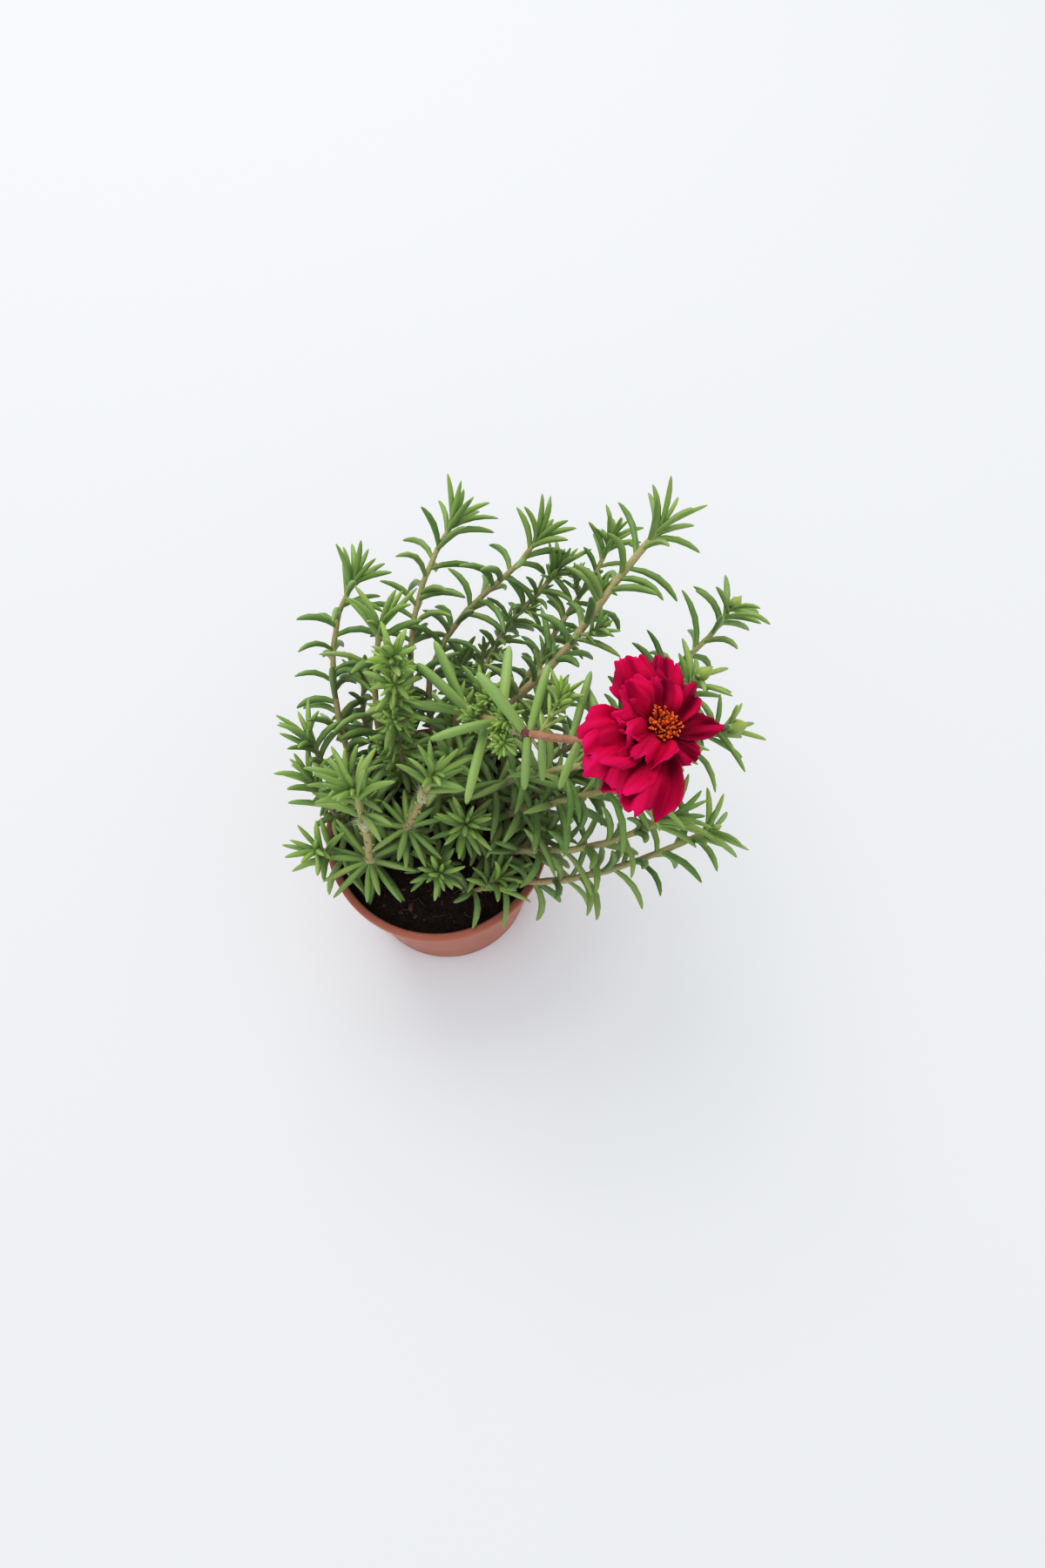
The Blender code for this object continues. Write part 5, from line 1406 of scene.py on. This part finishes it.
def fine_leaf(name, stem, controls, thickness, youth, draw):
    """A leaf with its root sunk into the stem, and the wisp of hair beside it."""
    axis = bezier(controls, np.linspace(0, 1, 9))
    heading = unit(axis[1] - axis[0])
    axis[0] -= SUNK * heading
    large = "calyx" in stem and thickness > LARGE_LEAF
    radius = FULLNESS * thickness * (0.94 if large else draw.uniform(0.92, 1.08))
    radius *= 1.0 if large or name in CLOSE_STEMS else 0.96
    # Youth on some stems, and painted light on the close ones, both brighten a leaf through its youth value
    youth_and_painted_light = BRIGHT.get(name, CLOSE_PAINTED_LIGHT * (name in CLOSE_STEMS))
    leaf = bent_copy(large_master if large else leaf_master, "leaf", axis, radius, leaf_finish,
                     draw.uniform(0.84, 0.98), tint=draw.random(), youth=youth + youth_and_painted_light, wood=float(large))
    return [leaf] + hairs(controls[0], heading, draw, LEAF_HAIRS, LEAF_HAIR_LENGTH)


def fine_stem(name, stem, grown, owner):
    """A stem's finished piece, which stands for the solid of the same name."""
    draw = random.Random(owner + 901)
    route = grown["route"]
    tube = fine_tube(name, stem, route, draw)
    parts = [bent_copy(shoot_master, "shoot", along(shoot, np.linspace(0, route_length(shoot), 8)),
                       0.0009 * np.linspace(1, 0.6, 8), stem_finish, wood=0.1) for shoot in grown["shoots"]]
    for leaf in grown["leaves"]:
        parts += fine_leaf(name, stem, *leaf, draw)
    if "worn" in stem:
        parts += worn_marks(stem, route, draw)
    if "calyx" in stem:
        parts += joint_on(route)
    if "bud" in stem:
        centre, heading = bud_place(stem, route)
        path = centre + np.outer(stem["bud"] * np.linspace(-1.2, 2.0, 9), heading)
        parts.append(bent_copy(bud_master, "bud", path, 1.16 * stem["bud"], bud_finish, 0.92, tint=0.5))
    whole = join_as(name + "_fine", parts + [tube])
    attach(whole, "root")
    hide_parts(name)
    return whole


fine_stems = [fine_stem(name, stem, plant[name], owner) for owner, (name, stem) in enumerate(STEMS.items())]
print("stems:", len(fine_stems), "faces:", sum(len(item.data.polygons) for item in fine_stems))


# %% [markdown]
# ## The bloom
# Twelve silky petals in two layers. Each starts as a flat grid, is carried onto the petal's surface with a
# frilled edge, and gets a thin wall from a Solidify modifier. The crimson is darker in the throat and pinker
# towards the edge. Light and shade are painted on: each petal goes from a shaded run of tones to a lit one in
# soft waves, at its own level of painted light, and fine veins run along it.

# %% Petal finish
petal_finish, tree, shader = started_material(
    "petal_finish", 0.62, Sheen_Weight=0.03, Sheen_Roughness=0.35, Sheen_Tint=(1.0, 0.10, 0.45, 1.0),
    Specular_IOR_Level=0.08, Subsurface_Weight=0.10, Subsurface_Scale=0.002,
    Subsurface_Radius=(1.0, 0.1, 0.25))
reach = value_of(tree, "reach")
# Painted shade and painted light: a shaded run of crimson and a lit one, from throat to edge, mixed by the
# tint
painted_shade_tones = ramp(tree, reach, [(0.0, (0.08, 0.0003, 0.006)), (0.30, (0.17, 0.0003, 0.016)),
                          (0.72, (0.26, 0.0005, 0.034)), (1.0, (0.34, 0.0010, 0.065))])
painted_light_tones = ramp(tree, reach, [(0.0, (0.16, 0.0004, 0.008)), (0.30, (0.36, 0.0006, 0.028)),
                         (0.72, (0.66, 0.0025, 0.095)), (1.0, (0.84, 0.0100, 0.190))])
painted_light_and_shade = mixed(tree, value_of(tree, "tint"), painted_shade_tones, painted_light_tones)
strand = tree.nodes.new("ShaderNodeUVMap")
strand.uv_map = "petal"
stretch = add_node(tree, "ShaderNodeMapping", Vector=strand.outputs["UV"])
stretch.inputs["Scale"].default_value = (13.0, 1.5, 1.0)
veins = add_node(tree, "ShaderNodeTexNoise", Vector=stretch.outputs["Vector"], Scale=1.0, Detail=4.0,
                 Roughness=0.55, Distortion=0.6).outputs["Fac"]
feed(tree, shader.inputs["Base Color"],
     mixed(tree, fade(tree, veins, (0.35, 0.0), (0.75, 0.40)), painted_light_and_shade, (0.24, 0.0004, 0.020)))
bump_from(tree, veins, shader, 0.20, 0.0006)
print("petal finish:", len(tree.nodes), "nodes")

# %% Petals
# How much painted light each petal gets, from 0 to 1, in the order of the petal tables
PETAL_PAINTED_LIGHT = [0.50, 0.72, 0.95, 0.60, 0.35, 0.15, 0.05, 0.10, 0.78, 0.90, 0.60, 0.45]
PETAL_WALL = 0.00035
OUTER_FRILL, INNER_FRILL = 1.0, 1.45
SOFT_TOP = 0.0022


def fine_petal(number, petal):
    """One petal: a grid carried onto its surface, with a map that runs along and across it."""
    select_only()
    bpy.ops.mesh.primitive_grid_add(x_subdivisions=46, y_subdivisions=28, size=2.0)
    blade = leave_edit(bpy.context.object, "petal_%d" % number)
    flat = coordinates(blade.data)
    u, v = flat[:, 0], (flat[:, 1] + 1) / 2
    uv = blade.data.uv_layers.active or blade.data.uv_layers.new(name="petal")
    uv.name = "petal"
    for loop in blade.data.loops:
        uv.data[loop.index].uv = (u[loop.vertex_index] * 0.5 + 0.5, v[loop.vertex_index])
    give_value(blade.data, "reach", v)
    # Painted light and shade: the tint rises and falls in soft waves across the petal, for its lit and shaded
    # folds
    waves = 0.24 * np.sin(4.3 * u + 2.5 * v + 2 * number) + 0.18 * np.sin(8.5 * u - 4.0 * v + number)
    give_value(blade.data, "tint", np.clip(PETAL_PAINTED_LIGHT[number] + waves, 0, 1))
    places = petal_points(petal, u, v, OUTER_FRILL if number < len(OUTER_PETALS) else INNER_FRILL)
    over = np.clip(places[:, 2] - (CAD_HIGH[2] - SOFT_TOP), 0, None)
    places[:, 2] += 0.0018 * (1 - np.exp(-over / 0.0018)) - over
    set_coordinates(blade.data, places)
    select_only(blade)
    bpy.ops.object.modifier_add(type="SOLIDIFY")
    blade.modifiers["Solidify"].thickness = PETAL_WALL
    blade.modifiers["Solidify"].offset = 0.0
    bpy.ops.object.modifier_apply(modifier="Solidify")
    bpy.ops.object.shade_smooth()
    paint(blade, petal_finish)
    return blade


petals = [fine_petal(number, petal) for number, petal in enumerate(OUTER_PETALS + INNER_PETALS)]
seat = np.array(BLOOM_SEAT)
cup_path = seat + np.outer(np.linspace(0.0003, 0.0034, 9), np.array(BLOOM_AXIS))
cup_radii = CUP_RADIUS * np.array([0.6, 0.75, 0.88, 0.97, 1, 0.98, 0.9, 0.8, 0.65])
bloom = join_as("bloom_fine", petals + [bent_copy(shoot_master, "cup", cup_path, cup_radii, petal_finish)])
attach(bloom, "root")
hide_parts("bloom")
print("bloom faces:", len(bloom.data.polygons))

# %% Stamen finishes
filament_finish, tree, shader = started_material("filament_finish", 0.5)
feed(tree, shader.inputs["Base Color"], ramp(tree, value_of(tree, "reach"), [
    (0.0, (0.30, 0.004, 0.010)), (0.6, (0.55, 0.03, 0.01)), (1.0, (0.80, 0.22, 0.03))]))
anther_finish, tree, shader = started_material("anther_finish", 0.75)
feed(tree, shader.inputs["Base Color"], mottled(tree, (0.95, 0.29, 0.03), (0.75, 0.14, 0.015), 1500.0, 0.7))
pored(tree, shader, 6000.0, 1.0, 0.8, 0.0002)
print("stamen finishes:", filament_finish.name, anther_finish.name)

# %% Stamens
STAMEN_COUNT = 84
STAMEN_LENGTH, STAMEN_LEAN = 0.0094, 0.62
FILAMENT_RADIUS, ANTHER_RADIUS, ANTHER_LENGTH = 0.00016, 0.00042, 0.0013
ANTHER_BOW = 1e-5 * np.array((0, 1, 2, 1, 0))
ANTHER_RINGS = [(0.06, 0.7), (0.25, 1.0), (0.5, 0.92), (0.75, 1.0), (0.94, 0.7)]
anther_master = shaped_ball("anther_master", 8, ANTHER_RINGS)
MASTERS.append(anther_master)


def fine_stamens(count):
    """A tuft of filaments of mixed lengths, each with an anther across its end."""
    across, forward, up = bloom_frame()
    draw = random.Random(5)
    parts = []
    for i in range(count):
        reach = math.sqrt((i + 0.5) / count)
        out = around(i * GOLDEN_TURN, across, forward)
        root = seat + up * (CUP_HEIGHT - 0.0001) + out * 0.0016 * reach
        height = STAMEN_LENGTH * draw.uniform(0.55, 1.0)
        lean = STAMEN_LEAN * reach + draw.uniform(-0.1, 0.1)
        tip = root + height * around(lean, up, out)
        middle = (root + tip) / 2 + up * 0.0006 - out * 0.0004
        path = bezier(np.array([root, middle, tip]), np.linspace(0, 1, 6))
        parts.append(bent_copy(shoot_master, "filament", path, FILAMENT_RADIUS, filament_finish))
        cross = np.array([draw.gauss(0, 1) for _ in range(3)])
        way = 0.8 * unit(np.cross(cross, tip - middle)) + 0.4 * unit(tip - middle)
        ends = tip + np.outer(np.linspace(-0.5, 0.5, 5) * ANTHER_LENGTH, way) + np.outer(ANTHER_BOW, up)
        parts.append(bent_copy(anther_master, "anther", ends, ANTHER_RADIUS, anther_finish, 0.85))
    return parts


stamens = join_as("stamens_fine", fine_stamens(STAMEN_COUNT))
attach(stamens, "root")
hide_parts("stamens")
print("stamen faces:", len(stamens.data.polygons))


# %% [markdown]
# ## The pot
# A thin moulded cone with a rolled lip. It is drawn as a person would draw it: a circle at the middle of the
# foot, extruded and scaled ring by ring, up the outside, over the lip and down the inside. A Boolean modifier
# punches the drain holes. The plastic is a matt clay colour, a little worn, and paler at the lip.

# %% Pot shape
POT_SIDES = 128


def ringed_shell(name, sides, outline):
    """Extrudes a circle ring by ring through an outline of (radius, height) points and closes both ends."""
    select_only()
    radius, height = outline[0]
    bpy.ops.mesh.primitive_circle_add(vertices=sides, radius=radius, location=(0, 0, 0), fill_type="NOTHING")
    shell = bpy.context.object
    bpy.ops.object.mode_set(mode="EDIT")
    bpy.ops.mesh.select_all(action="SELECT")
    bpy.ops.transform.translate(value=(0, 0, height))
    bpy.ops.mesh.edge_face_add()
    for (r0, z0), (r1, z1) in zip(outline, outline[1:]):
        bpy.ops.mesh.extrude_region_move(TRANSFORM_OT_translate={"value": (0, 0, z1 - z0)})
        bpy.ops.transform.resize(value=(r1 / r0, r1 / r0, 1))
    bpy.ops.mesh.select_all(action="SELECT")
    bpy.ops.mesh.normals_make_consistent(inside=False)
    return leave_edit(shell, name)


def arc(centre_radius, centre_height, reach, start, stop, count):
    turns = np.radians(np.linspace(start, stop, count))
    return [(centre_radius + reach * math.cos(t), centre_height + reach * math.sin(t)) for t in turns]


lip_foot = POT_HEIGHT - LIP_DEPTH
# The centre pad, the channel round it and the rounded edge of the foot
pot_outline = [(PAD_RADIUS, 0.0002), (PAD_RADIUS + 0.0004, 0.0006), (PAD_RADIUS + 0.0015, CHANNEL_HEIGHT),
               (FOOT_RADIUS - 0.0055, CHANNEL_HEIGHT), (FOOT_RADIUS - 0.0046, 0.0006)]
pot_outline += arc(FOOT_RADIUS - 0.0034, 0.0006, 0.0006, 200, 270, 4)
pot_outline += arc(FOOT_RADIUS - 0.0009, 0.0009, 0.0009, 270, 355, 6)
# The wall, up to the lip
pot_outline += [(FOOT_RADIUS + (SHOULDER_RADIUS - FOOT_RADIUS) * s, 0.001 + (lip_foot - 0.0016) * s)
                for s in (0.04, 0.25, 0.5, 0.75, 0.97)]
pot_outline += [(SHOULDER_RADIUS + 0.0004, lip_foot - 0.0001)]
# The rolled lip
pot_outline += arc(LIP_RADIUS - 0.0009, lip_foot + 0.0009, 0.0009, -80, 0, 6)
pot_outline += arc(LIP_RADIUS - 0.0011, POT_HEIGHT - 0.0011, 0.0011, 6, 90, 7)
pot_outline += arc(SHOULDER_RADIUS + 0.0002, POT_HEIGHT - 0.0012, 0.0012, 90, 175, 6)
# Down the inside, and along the floor
pot_outline += [(inner_radius(h), h) for h in (lip_foot, 0.075, 0.05, 0.02, FLOOR_TOP + 0.0012)]
pot_outline += [(inner_radius(FLOOR_TOP) - 0.0012, FLOOR_TOP), (0.004, FLOOR_TOP)]
pot = ringed_shell("pot_fine", POT_SIDES, pot_outline)
pot_drains = []
for i in range(DRAIN_COUNT):
    turn = 2 * math.pi * (i + 0.5) / DRAIN_COUNT
    select_only()
    bpy.ops.mesh.primitive_cylinder_add(vertices=32, radius=DRAIN_RADIUS, depth=4 * FLOOR_TOP, location=(
        DRAIN_RING_RADIUS * math.cos(turn), DRAIN_RING_RADIUS * math.sin(turn), 0))
    pot_drains.append(bpy.context.object)
punch = join_as("punch", pot_drains)
select_only(pot)
bpy.ops.object.modifier_add(type="BOOLEAN")
pot.modifiers["Boolean"].object = punch
pot.modifiers["Boolean"].operation = "DIFFERENCE"
bpy.ops.object.modifier_apply(modifier="Boolean")
bpy.data.objects.remove(punch, do_unlink=True)
bpy.ops.object.shade_smooth_by_angle(angle=math.radians(40))
print("pot faces:", len(pot.data.polygons))

# %% Pot finish
clay_finish, tree, shader = started_material("clay_finish", 0.42, Specular_IOR_Level=0.32)
separate = add_node(tree, "ShaderNodeSeparateXYZ", Vector=place_of(tree))
body = ramp(tree, figured(tree, "DIVIDE", separate.outputs["Z"], POT_HEIGHT), [
    (0.0, (0.40, 0.140, 0.090)), (0.93, (0.42, 0.145, 0.095)), (0.96, (0.42, 0.150, 0.095)),
    (1.0, (0.42, 0.165, 0.115))])
feed(tree, shader.inputs["Base Color"], mottled(tree, body, (0.50, 0.22, 0.16), 45.0, 0.35))
pored(tree, shader, 900.0, 0.4, 0.12, 0.0003)
paint(pot, clay_finish)
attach(pot, "root")
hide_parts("pot")


# %% [markdown]
# ## The soil
# Damp, dark peat with coarse crumbs, reddish fibres and a few pale grains. The plug is drawn like the pot,
# its top is roughened point by point with noise, and crumbs, bark and fibres are strewn on it by a seeded
# draw.

# %% Soil finishes
soil_finish, tree, shader = started_material("soil_finish", 0.92)
peat = mottled(tree, (0.010, 0.006, 0.005), (0.050, 0.022, 0.015), 420.0, 0.9)
feed(tree, shader.inputs["Base Color"], peat)
pored(tree, shader, 1300.0, 1.0, 1.0, 0.0008)
fibre_finish, tree, shader = started_material("fibre_finish", 0.85)
feed(tree, shader.inputs["Base Color"], ramp(tree, value_of(tree, "tint"), [
    (0.0, (0.10, 0.035, 0.022)), (0.6, (0.19, 0.075, 0.045)), (1.0, (0.36, 0.20, 0.12))]))
print("soil finishes:", soil_finish.name, fibre_finish.name)

# %% Soil shape
top_radius = inner_radius(SOIL_TOP) - 0.0002
soil_outline = [(0.004, FLOOR_TOP + 0.0003), (inner_radius(FLOOR_TOP) - 0.0018, FLOOR_TOP + 0.0003),
                (inner_radius(0.008) - 0.0003, 0.008), (top_radius, SOIL_TOP - 0.0008)]
soil_outline += [(top_radius * s, SOIL_TOP) for s in np.linspace(0.985, 0.02, 44)]
soil = ringed_shell("soil_fine", POT_SIDES, soil_outline)


def soil_height(x, y):
    """The rough top: slow swells, then clods, then grit."""
    waves = math.sin(190 * x + 1.3) * math.cos(230 * y) + 0.6 * math.sin(410 * x - 350 * y)
    clods = noise.fractal(Vector((x * 210, y * 210, 0.0)), 0.7, 2.1, 4)
    return SOIL_TOP + SOIL_BUMP * waves / 1.6 + 0.0011 * clods


places = coordinates(soil.data)
for i, (x, y, z) in enumerate(places):
    if z > SOIL_TOP - 0.0001:
        places[i, 2] = soil_height(x, y)
set_coordinates(soil.data, places)
paint(soil, soil_finish)
select_only(soil)
bpy.ops.object.shade_smooth()
print("soil points:", len(places))

# %% Crumbs, bark and fibres
CRUMB_COUNT, BARK_COUNT, FIBRE_COUNT = 900, 90, 200
PALE_SHARE = 0.10
select_only()
bpy.ops.mesh.primitive_ico_sphere_add(subdivisions=1, radius=1.0)
crumb_master = leave_edit(bpy.context.object, "crumb_master")
MASTERS.append(crumb_master)


def strewn(draw, margin):
    """A place on the soil, at least this far from the wall."""
    reach, turn = (top_radius - margin) * math.sqrt(draw.random()), draw.uniform(0, 2 * math.pi)
    return reach * math.cos(turn), reach * math.sin(turn)


def crumb(draw):
    """A lump of peat: the ball with each corner pushed in or out. A few are paler grains."""
    x, y = strewn(draw, 0.0014)
    size = 0.00035 + 0.0011 * draw.random() ** 2.5
    material = fibre_finish if draw.random() < PALE_SHARE else soil_finish
    lump = bpy.data.objects.new("crumb", crumb_master.data.copy())
    bpy.context.scene.collection.objects.link(lump)
    places = coordinates(lump.data)
    places *= np.array([[draw.uniform(0.65, 1.2)] for _ in places])
    places *= (draw.uniform(0.7, 1.2), draw.uniform(0.7, 1.2), draw.uniform(0.5, 0.9))
    set_coordinates(lump.data, places * size + (x, y, soil_height(x, y) + 0.2 * size))
    give_value(lump.data, "tint", draw.random())
    paint(lump, material)
    return lump


def bark(draw):
    """A flat chip that lies on the soil, or stands out of it a little."""
    x, y = strewn(draw, 0.004)
    way, half, tilt = draw.uniform(0, 2 * math.pi), draw.uniform(0.0008, 0.0022), draw.uniform(-0.3, 0.3)
    shares = half * np.linspace(-1, 1, 5)
    path = np.stack([x + math.cos(way) * shares, y + math.sin(way) * shares,
                     soil_height(x, y) + 0.0005 + tilt * shares], axis=1)
    return bent_copy(leaf_master, "bark", path, draw.uniform(0.0003, 0.0007), fibre_finish,
                     draw.uniform(0.3, 0.6), tint=0.75 * draw.random())


def fibre(draw):
    """A thin curved fibre that follows the soil's top."""
    x, y = strewn(draw, 0.005)
    way, half, bend = draw.uniform(0, 2 * math.pi), draw.uniform(0.0008, 0.0030), draw.uniform(-0.4, 0.4)
    shares = np.linspace(-1, 1, 5)
    xs = x + half * (shares * math.cos(way) - bend * shares**2 * math.sin(way))
    ys = y + half * (shares * math.sin(way) + bend * shares**2 * math.cos(way))
    zs = [soil_height(a, b) + 0.0004 for a, b in zip(xs, ys)]
    return bent_copy(shoot_master, "fibre", np.stack([xs, ys, zs], axis=1), draw.uniform(0.00008, 0.00022),
                     fibre_finish, tint=draw.random())


draw = random.Random(77)
litter = [crumb(draw) for _ in range(CRUMB_COUNT)]
litter += [bark(draw) for _ in range(BARK_COUNT)]
litter += [fibre(draw) for _ in range(FIBRE_COUNT)]
soil = join_as("soil_fine", litter + [soil])
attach(soil, "root")
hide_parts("soil")
print("soil faces:", len(soil.data.polygons))


# %% [markdown]
# ## Finish
# The masters have done their work and are removed.

# %% Clear up and finish
for master in MASTERS:
    bpy.data.objects.remove(master, do_unlink=True)
